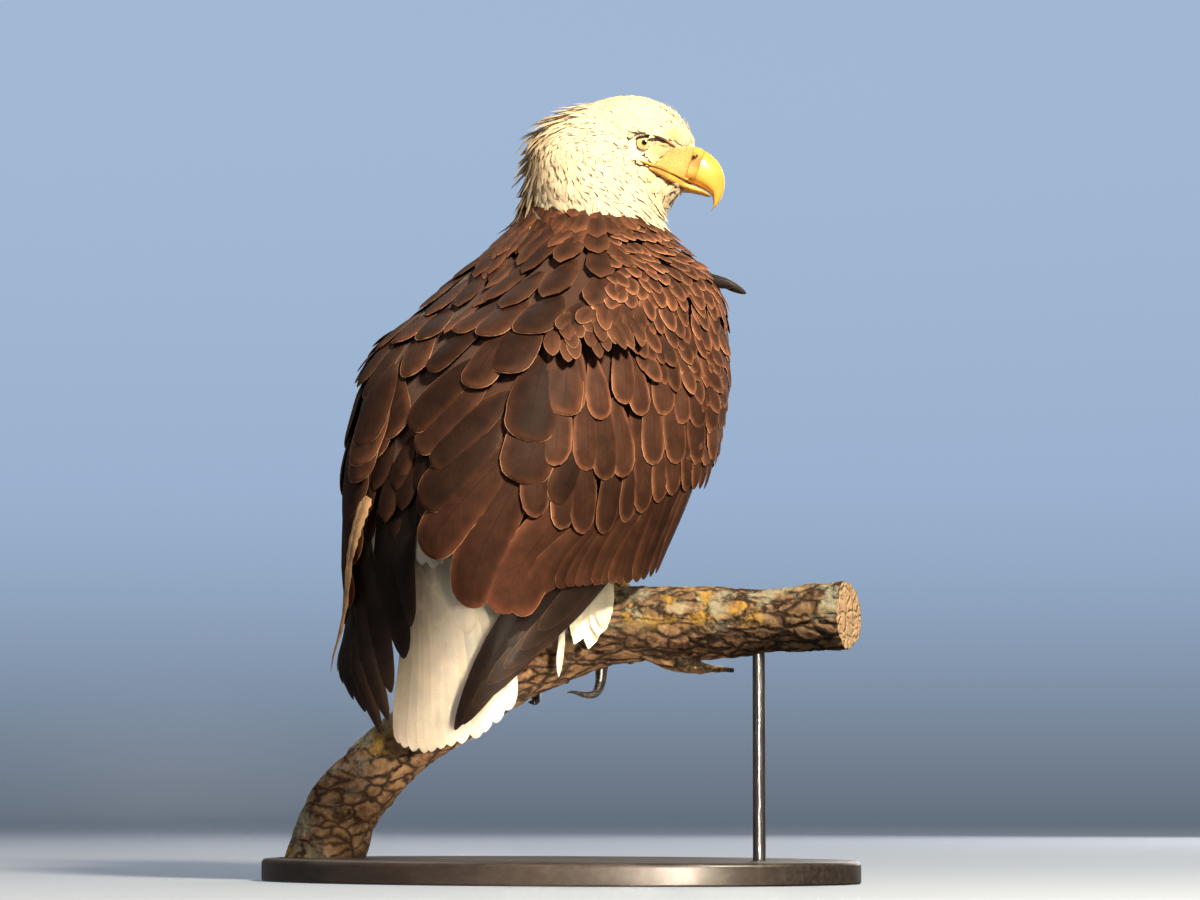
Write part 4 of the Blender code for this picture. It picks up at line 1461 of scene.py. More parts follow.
@dataclass(frozen=True)
class Region:
    """Staggered rows of like feathers on a folded wing.

    upper and lower give the height of the feathers' tips in the first and last row for each
    turn in degrees. Pairs of sizes go from the first row to the last, and lie goes from the
    back edge to the front edge, in degrees.
    """

    upper: tuple[tuple[float, float], ...]
    lower: tuple[tuple[float, float], ...]
    rows: int
    spacing: tuple[float, float]
    length: tuple[float, float]
    half_width: tuple[float, float]
    lie: tuple[float, float] = (0.0, 0.0)
    root: float = -0.008
    tip: tuple[float, float] = (0.0, 0.0)
    fringe: float = 0.5
    tint: float = 1.0
    wild: float = 1.0
    tilt: float = 0.0

    def feathers(self, surface: Surface, rng: np.random.Generator) -> Feathers:
        """Places the feathers: each root is a walk back up the lie from its tip.

        Args:
            surface: the folded wing.
            rng: source of the scatter.

        Returns:
            The feathers.
        """
        tips, heights, parts = [], [], []
        start, end = self.upper[0][0], self.upper[-1][0]
        for row in range(self.rows):
            part = row / max(1, self.rows - 1)
            pitch = math.degrees((self.spacing[0] * (1 - part) + self.spacing[1] * part) / 0.160)
            count = max(2, round((end - start) / pitch))
            turn = start + (end - start) * (np.arange(count) + 0.25 + 0.5 * (row % 2)) / count
            turn = turn + rng.uniform(-0.16, 0.16, count) * pitch * self.wild
            high = smooth(self.upper, turn)[:, 0]
            low = smooth(self.lower, turn)[:, 0]
            gap = (high - low) / max(1, self.rows - 1)
            heights.append(high + (low - high) * part
                           + rng.uniform(-0.16, 0.16, count) * gap * self.wild)
            tips.append(turn)
            parts.append(np.full(count, part))
        turn, height, part = map(np.concatenate, (tips, heights, parts))
        count = len(turn)
        u, v = wing_place(turn, height)
        size = rng.uniform(0.92, 1.08, count)

        def mixed(pair: tuple[float, float]) -> Array:
            """Each feather's value between the first row's and the last row's."""
            return pair[0] * (1 - part) + pair[1] * part

        length, half = mixed(self.length) * size, mixed(self.half_width) * size
        lie = np.radians(self.lie[0] + (self.lie[1] - self.lie[0]) * (turn - start) / (end - start)
                         + rng.normal(0, 4.5, count) * self.wild)
        root_v = surface.walk(u, v, lie, -length)[1]
        length = length * np.clip((v + 0.02) / np.maximum(v - root_v, 1e-6), 0.3, 1.0)
        root_u, root_v = surface.walk(u, v, lie, -length)
        points = surface.read(u, v)[0]
        return Feathers(root_u, root_v, length, half, lie, 0.0, self.root,
                        mixed(self.tip) + rng.uniform(-0.0012, 0.0008, count) * self.wild,
                        self.tilt + rng.uniform(-0.05, 0.05, count) * self.wild, 0.9,
                        brown(points) * self.tint, self.fringe * rng.uniform(0.35, 1.1, count))


LESSER = Region(((57, 0.604), (85, 0.614), (112, 0.606), (138, 0.592)),
                ((57, 0.506), (74, 0.486), (90, 0.462), (112, 0.448), (138, 0.440)),
                13, (0.0135, 0.0160), (0.026, 0.038), (0.0072, 0.0098), (14, 42), -0.0050,
                (0.0004, -0.0002), 0.72, 1.05, 2.2)
MEDIAN = Region(((44, 0.428), (60, 0.432), (74, 0.432), (90, 0.428), (112, 0.426), (138, 0.424)),
                ((44, 0.392), (60, 0.380), (83, 0.374), (103, 0.388), (138, 0.400)),
                2, (0.0270, 0.0290), (0.062, 0.080), (0.0150, 0.0165), (4, 34), -0.0066,
                (-0.0022, -0.0022), 0.75, 1.0)
GREATER = Region(((50, 0.334), (66, 0.322), (92, 0.322)), ((50, 0.334), (66, 0.322), (92, 0.322)),
                 1, (0.0265, 0.0265), (0.110, 0.110), (0.0180, 0.0180), (14, 24), -0.0074,
                 (-0.0030, -0.0030), 0.8, 1.0, 0.8, 0.06)
GREATER_FRONT = Region(((93, 0.330), (112, 0.360), (138, 0.370)),
                       ((93, 0.330), (112, 0.360), (138, 0.370)),
                       1, (0.0165, 0.0165), (0.105, 0.105), (0.0140, 0.0140), (25, 38), -0.0078,
                       (-0.0034, -0.0034), 0.8, 1.0, 0.8, 0.06)
SECONDARY = Region(((50, 0.246), (65, 0.264), (87, 0.273), (120, 0.280), (138, 0.292)),
                   ((50, 0.246), (65, 0.264), (87, 0.273), (120, 0.280), (138, 0.292)),
                   1, (0.0150, 0.0150), (0.150, 0.150), (0.0165, 0.0165), (-40, 24), -0.0085,
                   (-0.0050, -0.0050), 0.7, 0.95, 0.4, 0.11)
MANTLE = Region(((0, 0.640), (30, 0.638), (60, 0.630), (90, 0.622)),
                ((0, 0.510), (6, 0.556), (20, 0.582), (40, 0.600), (60, 0.610), (90, 0.620)),
                7, (0.0190, 0.0240), (0.056, 0.066), (0.0095, 0.0120), (-14, 6), -0.0068,
                (-0.0030, 0.0005), 0.30, 0.90, 2.2)
SCAPULAR_EDGE = Region(((46, 0.500), (60, 0.510), (78, 0.504)),
                       ((46, 0.464), (58, 0.478), (78, 0.490)),
                       4, (0.0130, 0.0120), (0.034, 0.038), (0.0082, 0.0072), (4, 14), -0.0030,
                       (0.0035, 0.0100), 0.55, 0.70, 2.2)

# Scapulars and tertials of a folded wing: turn and height of the tip, lie in degrees,
# length, half width and height of the tip over the plumage
LARGE = [
    (50.0, 0.588, 8, 0.062, 0.0135, 0.0014), (34.0, 0.578, -4, 0.066, 0.0150, 0.0014),
    (17.0, 0.568, -12, 0.066, 0.0140, 0.0012), (61.0, 0.572, 12, 0.056, 0.0115, 0.0012),
    (51.0, 0.560, 5, 0.062, 0.0150, 0.0012), (6.0, 0.542, -18, 0.068, 0.0150, 0.0010),
    (36.0, 0.540, -3, 0.068, 0.0175, 0.0012), (54.0, 0.530, 6, 0.060, 0.0135, 0.0012),
    (20.0, 0.532, -9, 0.062, 0.0190, 0.0014), (7.0, 0.508, -20, 0.062, 0.0180, 0.0008),
    (38.0, 0.501, -3, 0.066, 0.0225, 0.0012), (21.0, 0.502, -11, 0.066, 0.0220, 0.0006),
    (52.0, 0.500, 6, 0.055, 0.0130, 0.0012), (3.0, 0.470, -26, 0.080, 0.0190, 0.0000),
    (34.0, 0.462, -5, 0.080, 0.0245, 0.0002), (24.0, 0.450, -12, 0.082, 0.0225, -0.0006),
    (1.5, 0.418, -40, 0.100, 0.0225, -0.0004), (42.0, 0.402, -5, 0.090, 0.0260, -0.0008),
    (52.0, 0.426, 2, 0.070, 0.0200, -0.0014), (6.0, 0.398, -42, 0.102, 0.0210, -0.0016),
    (14.0, 0.382, -42, 0.100, 0.0200, -0.0024), (44.0, 0.363, -6, 0.105, 0.0280, -0.0022),
    (13.0, 0.344, -38, 0.110, 0.0250, -0.0026), (57.0, 0.345, -8, 0.095, 0.0200, -0.0030),
    (13.5, 0.302, -36, 0.140, 0.0265, -0.0030), (29.0, 0.252, -17, 0.165, 0.0255, -0.0034),
    (42.0, 0.244, -26, 0.165, 0.0245, -0.0038), (49.0, 0.243, -27, 0.155, 0.0215, -0.0044),
]
# Inner edge of the left wing, in the same order
LEFT_EDGE = [(15.5, 0.402, -6, 0.090, 0.0250, 0.0040), (15.5, 0.385, -6, 0.090, 0.0250, 0.0026),
             (16.5, 0.370, -6, 0.090, 0.0240, 0.0012)]


def large_feathers(surface: Surface, side: Side, rng: np.random.Generator,
                   upper: bool) -> Feathers:
    """Upper, softer scapulars of one wing, or its lower scapulars and tertials.

    Args:
        surface: the folded wing.
        side: which wing.
        rng: source of the scatter.
        upper: the upper ones.

    Returns:
        The feathers.
    """
    rows = np.array([row for row in LARGE if (row[1] > 0.52) is upper])
    if side is Side.LEFT:
        rows[:, 0] += 2.0 + rng.uniform(-2, 2, len(rows))
        rows[:, 1] += rng.uniform(-0.006, 0.006, len(rows))
        rows[:, 5] -= 0.0015
        if not upper:
            rows = np.concatenate([rows, LEFT_EDGE])
    turn, height, lie, length, half, tip = rows.T
    count, lie = len(turn), np.radians(lie)
    u, v = wing_place(turn, height)
    root_u, root_v = surface.walk(u, v, lie, -length)
    # The scapulars and tertials are darkened to 0.58 of the body's brown, partly as their own darker
    # colour and partly as painted shade under the overhanging scapulars; the lowest tertials are lifted
    # out of that painted shade, lighter and warmer.
    tint = np.tile(np.array(BROWN) * 0.58, (count, 1)) * rng.uniform(0.65, 1.3, (count, 1))
    tint[height < 0.31] *= np.array([1.35, 1.22, 1.1])
    return Feathers(root_u, root_v, length, half, lie, 0.0, tip - 0.0065, tip,
                    rng.uniform(-0.04, 0.04, count), 0.8, tint,
                    (0.9 - 0.6 * ease((height - 0.515) / 0.03)) * rng.uniform(0.6, 1.1, count))


# Long primaries of each wing: turn and height of the tip, lie, length, half width, height
PRIMARIES = {
    Side.RIGHT: [(19, 0.127, -31, 0.235, 0.016, -0.0100), (23, 0.133, -37, 0.235, 0.016, -0.0092),
                 (30, 0.148, -43, 0.225, 0.016, -0.0084), (40, 0.168, -44, 0.200, 0.016, -0.0076),
                 (48, 0.184, -45, 0.180, 0.015, -0.0070), (56, 0.204, -45, 0.150, 0.014, -0.0066),
                 (64, 0.224, -44, 0.120, 0.014, -0.0062)],
    Side.LEFT: [(25, 0.137, -12, 0.230, 0.016, -0.0100), (21, 0.150, -9, 0.220, 0.016, -0.0106),
                (30, 0.158, -14, 0.210, 0.017, -0.0094), (16, 0.176, -4, 0.200, 0.016, -0.0112),
                (34, 0.170, -15, 0.200, 0.018, -0.0084), (9, 0.205, 3, 0.190, 0.018, -0.0120),
                (39, 0.184, -15, 0.185, 0.018, -0.0072), (4, 0.232, 8, 0.165, 0.018, -0.0126),
                (45, 0.196, -13, 0.175, 0.018, -0.0060), (51, 0.208, -11, 0.160, 0.018, -0.0048),
                (58, 0.220, -9, 0.140, 0.018, -0.0038)],
}


def primary_feathers(surface: Surface, side: Side, rng: np.random.Generator) -> Feathers:
    """The fanned primaries that reach out below a folded wing.

    Args:
        surface: the folded wing.
        side: which wing.
        rng: source of the feathers' tints.

    Returns:
        The feathers.
    """
    turn, height, lie, length, half, tip = np.array(PRIMARIES[side]).T
    lie = np.radians(lie)
    u, v = wing_place(turn, height)
    root_u, root_v = surface.walk(u, v, lie, -length)
    count = len(turn)
    tilt, bend = (-0.05, -4.0) if side is Side.RIGHT else (0.03, 5.0)
    return Feathers(root_u, root_v, length, half, lie, np.radians(bend), -0.0120, tip, tilt, 1.2,
                    np.tile(DUSK, (count, 1)) * rng.uniform(0.55, 0.85, (count, 1)), 0.14)


# Loose buff feathers that hang off the left wing: turn and height of root and of tip, half
# width, height of the tip over the plumage
STRAYS = [((12, 0.350), (41, 0.200), 0.0062, 0.0035), ((11, 0.356), (20, 0.300), 0.0088, 0.0022),
          ((14, 0.352), (27, 0.270), 0.0048, 0.0028)]
# Loose feathers away from the wings: start, end, half width, and whether it is white
LOOSE_FEATHERS = [
    ((-0.1040, -0.0950, 0.5760), (-0.1340, -0.1240, 0.5622), 0.0050, False),
    ((-0.1060, -0.0920, 0.5700), (-0.1270, -0.1120, 0.5640), 0.0045, False),
    ((-0.0610, 0.0500, 0.2500), (-0.0560, 0.0580, 0.1900), 0.0034, True),
    ((-0.0570, 0.0080, 0.2900), (-0.0660, 0.0500, 0.2290), 0.0070, True),
    ((-0.0600, 0.0050, 0.2900), (-0.0720, 0.0460, 0.2230), 0.0095, True),
    ((-0.0620, 0.0040, 0.2900), (-0.0765, 0.0430, 0.2180), 0.0105, True),
    ((-0.0640, 0.0010, 0.2900), (-0.0800, 0.0370, 0.2150), 0.0100, True),
    ((-0.0660, 0.0000, 0.2900), (-0.0815, 0.0340, 0.2290), 0.0110, True),
    ((-0.0680, -0.0030, 0.2900), (-0.0840, 0.0300, 0.2380), 0.0090, True),
]


def loose_feathers(home: Surface, white: bool, rng: np.random.Generator) -> list[Down]:
    """Feathers that stand clear of the body, each laid on a flat strip of its own.

    Args:
        home: the surface whose unwrap gives each feather its baking place.
        white: the white ones of the thigh, or else the dark ones of the shoulder.
        rng: source of the lie's jitter.

    Returns:
        One lot of vanes for each feather.
    """
    made = []
    for start, end, half, pale in LOOSE_FEATHERS:
        if pale is not white:
            continue
        start, run = np.array(start), np.array(end) - np.array(start)
        aside = unit(np.cross(run, (0.70, -0.70, 0.1))) * 0.02
        part = np.linspace(0, 1, 12)[:, None, None]
        sag = np.array([0.0, 0.0, -0.10]) * np.linalg.norm(run) * part * (1 - part)
        strip = Surface(start + run * part + sag + aside * np.linspace(-1, 1, 5)[:, None],
                        home.chart_near(start), inside=start + np.array([0.05, -0.05, 0.0]))
        tint = np.array([WHITE]) * 0.70 if white else np.array([DUSK]) * 0.35
        tract = Feathers(np.array([0.5]), np.array([0.0]), np.array([np.linalg.norm(run)]), half,
                         rng.normal(0, 0.05, 1), rng.normal(0, 0.15, 1), 0.0, 0.001, 0.1, 1.0,
                         tint, 0.3)
        made.append(lay(strip, tract, BREAST if white else FLIGHT, rng))
    return made


def stray_feathers(surface: Surface) -> Feathers:
    """Pale worn feathers laid over the left wing's primaries.

    Args:
        surface: the folded wing.

    Returns:
        The feathers.
    """
    start, end, half, tip = (np.array(column).T for column in zip(*STRAYS))
    u, v = wing_place(*start)
    points, around, down, _ = surface.read(u, v)
    run = surface.read(*wing_place(*end))[0] - points
    ahead = unit(down)
    aside = unit(around - np.sum(around * ahead, -1, keepdims=True) * ahead)
    lie = np.arctan2(np.sum(run * aside, -1), np.sum(run * ahead, -1))
    return Feathers(u, v, np.linalg.norm(run, axis=-1) * 1.02, half, lie, 0.0, 0.0005, tip, 0.0, 1.0,
                    np.tile(BUFF, (len(STRAYS), 1)), 0.2)


@dataclass
class Torso:
    """Skin of the whole bird and the coat of its trunk, wings, tail and legs."""

    coat_depth: float = 0.010
    voxel: float = 0.0029
    seed: int = 11
    replaced: tuple[str, ...] = ("head", "neck", "trunk", "tail", "wing_left", "wing_right",
                                 "primaries_left", "primaries_right", "leg_left", "leg_right")

    def skin_parts(self) -> list[bpy.types.Object]:
        """Closed forms of torso, neck and head, legs and tail root, inside the coat.

        Returns:
            The forms.
        """
        turn = np.linspace(-math.pi, math.pi, 97)[:-1]
        height = np.concatenate([np.linspace(0.296, 0.40, 30), np.linspace(0.405, 0.632, 50)])
        body = trunk_point(height[:, None], turn[None, :], self.coat_depth)
        parts = [loft("torso_form", body),
                 loft("head_form", head_sections(90, 73, 0.0075)[:, :-1])]
        for side in Side:
            ring = leg_surface(side).points[:, :-1]
            middle = ring.mean(axis=1, keepdims=True)
            parts.append(loft(f"leg_form_{side.label}", middle + (ring - middle) * 0.72))
        rear, under = tail_plane(True).points[:34], tail_plane(False).points[:34]
        shrink = np.linspace(0.80, 0.55, 34)[:, None, None]
        rings = np.concatenate([rear[:, ::4], under[:, ::-4]], axis=1)
        middle = rings.mean(axis=1, keepdims=True)
        parts.append(loft("tail_form", middle + (rings - middle) * shrink))
        return parts

    def skin(self) -> bpy.types.Object:
        """One closed skin over all the forms, which carries the plumage's markings.

        Returns:
            The skin.
        """
        item = fuse("skin", self.skin_parts(), self.voxel, 3)
        points = vertices(item)
        warm, bare = warm_face(points)[:, None], bare_face(points)[:, None]
        tint = (markings(points) * (1 - warm) + np.array(LORE_YELLOW) * warm) * 0.85
        tint = tint * (1 - bare) + np.array(BARE_YELLOW) * bare
        return seat(item, SkinFinish(), "trunk", self.replaced, Tint=tint)

    def wings(self, side: Side) -> list[bpy.types.Object]:
        """Coverts, scapulars and flight feathers of one folded wing.

        Args:
            side: which wing.

        Returns:
            The pieces that both wings have.
        """
        rng = np.random.default_rng(self.seed + side.value)
        surface = wing_surface(side)
        coverts = [lay(surface, region.feathers(surface, rng), vane, rng)
                   for region, vane in ((LESSER, POINTED), (MEDIAN, COVERT), (GREATER, COVERT),
                                        (GREATER_FRONT, COVERT))]
        back = [lay(surface, MANTLE.feathers(surface, rng), BREAST, rng),
                lay(surface, SCAPULAR_EDGE.feathers(surface, rng), POINTED, rng),
                lay(surface, large_feathers(surface, side, rng, True), BREAST, rng),
                lay(surface, large_feathers(surface, side, rng, False), QUILL, rng)]
        flight = [lay(surface, SECONDARY.feathers(surface, rng), QUILL, rng),
                  lay(surface, primary_feathers(surface, side, rng), FLIGHT, rng)]
        label = side.label
        if side is Side.RIGHT:
            flight += loose_feathers(surface, False, rng)
            coat("thigh_tuft", loose_feathers(leg_surface(side), True, rng), WHITE_VANES, "leg_right")
        else:
            coat("strays_left", [lay(surface, stray_feathers(surface), SHREDDED, rng)],
                 STRAY_VANES, "wing_left")
        return [coat(f"coverts_{label}", coverts, COVERT_VANES, f"wing_{label}"),
                coat(f"back_{label}", back, BACK_VANES, f"wing_{label}"),
                coat(f"flight_{label}", flight, QUILL_VANES, f"wing_{label}")]

    def breast(self) -> bpy.types.Object:
        """Breast, belly and flanks.

        Returns:
            The piece.
        """
        rng = np.random.default_rng(self.seed + 5)
        surface = trunk_surface()
        u, v = scatter(surface, [(0.0, 0.013, 0.015), (0.5, 0.015, 0.018), (1.0, 0.012, 0.016)],
                       rng, 0.0, 0.97)
        points = surface.read(u, v)[0]
        turn = np.abs(u - 0.5) * 360
        keep = (turn > 112) | (points[:, 2] < 0.37)
        u, v, points = u[keep], v[keep], points[keep]
        count = len(u)
        front = ease((np.abs(u - 0.5) * 2 - 0.55) / 0.3)
        tract = Feathers(u, v, rng.uniform(0.036, 0.046, count), rng.uniform(0.0095, 0.0125, count),
                         rng.normal(0, 0.10, count), 0.0, -0.008,
                         0.0002 + 0.0018 * front * rng.uniform(0, 1, count),
                         rng.uniform(-0.08, 0.08, count), 0.9, markings(points), 0.6)
        return coat("breast", [lay(surface, tract, BREAST, rng)], BREAST_VANES, "trunk")

    @staticmethod
    def tail_quills(rng: np.random.Generator) -> Feathers:
        """The white tail feathers, the outer ones under the inner.

        Args:
            rng: source of the feathers' tints.

        Returns:
            The feathers.
        """
        number = np.arange(TAIL_COUNT) - (TAIL_COUNT - 1) / 2
        rank = np.abs(number)
        u = 0.5 + number / (TAIL_COUNT + 0.4)
        length = (TAIL_TOP - 0.012 - tail_tip(2 * u - 1)) * (1 + 0.06 * rank / rank.max())
        height = -0.0006 - 0.00095 * rank
        return Feathers(u, np.full(TAIL_COUNT, 0.05), length, 0.0175, 0.0, 0.0, height - 0.002, height,
                        0.02 * np.sign(number), 1.0, white_tint(rng, TAIL_COUNT, 0.95, 1.04), 0.3)

    @staticmethod
    def tail_coverts(place: int, row: float, lift: float, rng: np.random.Generator) -> Feathers:
        """One row of white coverts on a face of the tail.

        Args:
            place: number of the row, by which the rows are staggered.
            row: v of the roots.
            lift: height of the tips over the tail.
            rng: source of the scatter.

        Returns:
            The feathers.
        """
        count = 6
        u = 0.06 + 0.88 * (np.arange(count) + 0.5 * (place % 2) + 0.25) / count
        return Feathers(u, np.full(count, row) + rng.uniform(-0.03, 0.03, count),
                        rng.uniform(0.070, 0.100, count), 0.0150, rng.normal(0, 0.06, count), 0.0,
                        -0.004, lift, rng.uniform(-0.05, 0.05, count), 0.9,
                        white_tint(rng, count, 0.95, 1.03), 0.3)

    @staticmethod
    def rump(side: Side, rng: np.random.Generator) -> tuple[Down, Down]:
        """Soft feathers between the wings, over the root of the tail.

        Args:
            side: which half.
            rng: source of the scatter.

        Returns:
            The low ones, which are white, and the high ones, which are brown, both darkened as painted
            shade between the wings.
        """
        surface = wing_surface(side)
        rows, columns = np.meshgrid(np.linspace(0.412, 0.335, 5), np.arange(4))
        count = rows.size
        turn = (columns * 8.5 + 4.2 * (np.arange(5) % 2)).ravel() + rng.uniform(-1, 1, count)
        height = rows.ravel() + rng.uniform(-0.004, 0.004, count)
        u, v = wing_place(turn, height)
        deep = 0.010 * ease((0.392 - height) / 0.03)
        length, half = rng.uniform(0.045, 0.065, count), rng.uniform(0.0120, 0.0150, count)
        lie, tint = rng.normal(0, 0.10, count), markings(surface.read(u, v)[0])
        lots = []
        # shade darkens each lot's tint as painted shade between the wings: the white ones to 0.7, the
        # brown ones to 0.3.
        for found, shade in ((height < 0.372, 0.7), (height >= 0.372, 0.3)):
            tract = Feathers(u[found], v[found], length[found], half[found], lie[found], 0.0,
                             -0.0100 - deep[found], -0.0056 - deep[found], 0.0, 0.9,
                             tint[found] * shade, 0.0)
            lots.append(lay(surface, tract, BREAST, rng))
        return tuple(lots)

    def tail(self) -> list[bpy.types.Object]:
        """White tail feathers with their upper and under coverts, and the rump.

        Returns:
            The tail's piece and the rump's.
        """
        rng = np.random.default_rng(self.seed + 7)
        upper, under = tail_plane(True), tail_plane(False)
        parts = [lay(upper, self.tail_quills(rng), QUILL, rng)]
        for surface, lift, reach in ((upper, 0.0006, 0.02), (under, 0.0015, 0.16)):
            parts += [lay(surface, self.tail_coverts(place, row, lift, rng), COVERT, rng)
                      for place, row in enumerate(np.linspace(-0.20, reach, 3))]
        white, dark = zip(*(self.rump(side, rng) for side in Side))
        return [coat("tail_feathers", parts + list(white), WHITE_VANES, "tail"),
                coat("rump", list(dark), BACK_VANES, "trunk")]

    def legs(self, side: Side) -> bpy.types.Object:
        """Shaggy thigh feathers of one leg.

        Args:
            side: which leg.

        Returns:
            The piece.
        """
        rng = np.random.default_rng(self.seed + 20 + side.value)
        surface = leg_surface(side)
        u, v = scatter(surface, [(0.0, 0.011, 0.013), (1.0, 0.009, 0.010)], rng, 0.05, 0.86)
        count = len(u)
        tract = Feathers(u, v, rng.uniform(0.024, 0.034, count), rng.uniform(0.0055, 0.0075, count),
                         rng.normal(0, 0.15, count), 0.0, -0.006, rng.uniform(0, 0.003, count),
                         0.0, 0.9, markings(surface.read(u, v)[0]) * 0.9, 0.35)
        return coat(f"thigh_{side.label}", [lay(surface, tract, BREAST, rng)], BREAST_VANES,
                    f"leg_{side.label}")

    def build(self) -> None:
        """Builds the skin and every tract."""
        self.skin()
        for side in Side:
            self.wings(side)
            self.legs(side)
        self.breast()
        self.tail()


# Bare lore and gape: distance ahead, then height of the wedge's upper and lower edge
LORE = [(0.0740, 0.6850, 0.6836), (0.0857, 0.6858, 0.6780), (0.0931, 0.6850, 0.6740),
        (0.1020, 0.6925, 0.6695), (0.1150, 0.6985, 0.6630), (0.1230, 0.7015, 0.6580),
        (0.1400, 0.7030, 0.6560)]


def bare_face(points: Array) -> Array:
    """Bare skin from the gape and the eye's front corner to the bill.

    Args:
        points: places on the head.

    Returns:
        1 on the bare skin, 0 elsewhere.
    """
    forward, height, lateral = np.moveaxis(in_head(points), -1, 0)
    high, low = np.moveaxis(smooth(LORE, forward.ravel()).reshape(*forward.shape, 2), -1, 0)
    inside = ease((high - height) / 0.0016) * ease((height - low) / 0.0016)
    return inside * ease((forward - 0.0745) / 0.002) * ease((np.abs(lateral) - 0.006) / 0.004)


def warm_face(points: Array) -> Array:
    """Yellow in the short feathers round the bare skin.

    Args:
        points: places on the head.

    Returns:
        Share of yellow.
    """
    forward, height, _ = np.moveaxis(in_head(points), -1, 0)
    near = 0.75 * ease((forward - 0.084) / 0.026) * ease((0.7060 - height) / 0.010)
    near = near * ease((height - 0.6640) / 0.010)
    front = np.exp(-((forward - 0.1170) ** 2 + (height - 0.7065) ** 2) / (2 * 0.0052**2))
    return np.maximum(near, 0.85 * front)


# Bill: centre and radius of the ridge's arc in the head's plane and, for each angle on it,
# the cutting edge below and the half width
CULMEN = (0.1269, 0.6682, 0.0341)
BILL_EDGE = [(-52.4, 0.1476, 0.6414, 0.0009), (-42, 0.1492, 0.6440, 0.0028),
             (-30, 0.1498, 0.6468, 0.0045), (-10, 0.1494, 0.6530, 0.0072),
             (10, 0.1474, 0.6572, 0.0096), (30, 0.1419, 0.6614, 0.0122),
             (50, 0.1354, 0.6647, 0.0140), (64, 0.1310, 0.6666, 0.0148)]
LOWER_BILL = [(0.1199, 0.6592, 0.1232, 0.6674, 0.0125), (0.1278, 0.6586, 0.1304, 0.6649, 0.0112),
              (0.1366, 0.6568, 0.1383, 0.6615, 0.0088), (0.1432, 0.6550, 0.1439, 0.6579, 0.0063),
              (0.1470, 0.6545, 0.1470, 0.6555, 0.0025)]
# Lips of the gape: forward and height from the rear corner to the bill
GAPE = (("upper", [(0.0760, 0.6845), (0.0920, 0.6800), (0.1080, 0.6752), (0.1255, 0.6695)], 0.0017),
        ("line", [(0.0765, 0.6834), (0.0920, 0.6784), (0.1080, 0.6735), (0.1280, 0.6670)], 0.0008),
        ("lower", [(0.0880, 0.6770), (0.1000, 0.6728), (0.1130, 0.6675), (0.1265, 0.6625)], 0.0036))

BILL = HornFinish("yellow_bill_horn", (0.86, 0.49, 0.075), (0.62, 0.33, 0.055))
# The cere's nearly black deep colour is painted shade in the nostrils, and also clouds the cere at
# random.
CERE = HornFinish("yellow_cere_skin", (0.84, 0.45, 0.085), (0.055, 0.018, 0.010), 0.45, 400.0, 0.05)
MOUTH = HornFinish("dark_gape_line", (0.20, 0.08, 0.035), (0.075, 0.028, 0.016), 0.5, 400.0, 0.0)
LID = HornFinish("pale_eyelid", (0.78, 0.66, 0.42), (0.030, 0.018, 0.012), 0.55, 500.0, 0.05)
# The brow's deep colour is painted shadow of the ridge over the eye; its base colour is the skin's own
# orange.
BROW = HornFinish("brow_skin", (0.74, 0.44, 0.19), (0.075, 0.036, 0.018), 0.6, 500.0, 0.0)
TALON = HornFinish("black_talon", (0.020, 0.018, 0.018), (0.060, 0.050, 0.045), 0.22, 300.0, 0.4)
# Rows of the head's feathers: v of the row, spacing down, spacing across
HACKLE_ROWS = [(0.0, 0.0026, 0.0028), (0.25, 0.0034, 0.0036), (0.5, 0.0048, 0.0048),
               (0.8, 0.0070, 0.0066), (1.0, 0.0085, 0.0075)]
# Sizes of the head's feathers: v of the root, length, half width
HACKLE_SIZES = [(0.0, 0.0055, 0.0015), (0.2, 0.009, 0.0020), (0.45, 0.017, 0.0027),
                (0.7, 0.030, 0.0034), (1.0, 0.046, 0.0042)]
CREAM = (0.88, 0.82, 0.71)  # what the head's white is multiplied by
LID_SHAPE = (1.16, 0.88)  # length and height of the eyelid, as shares of a circle's


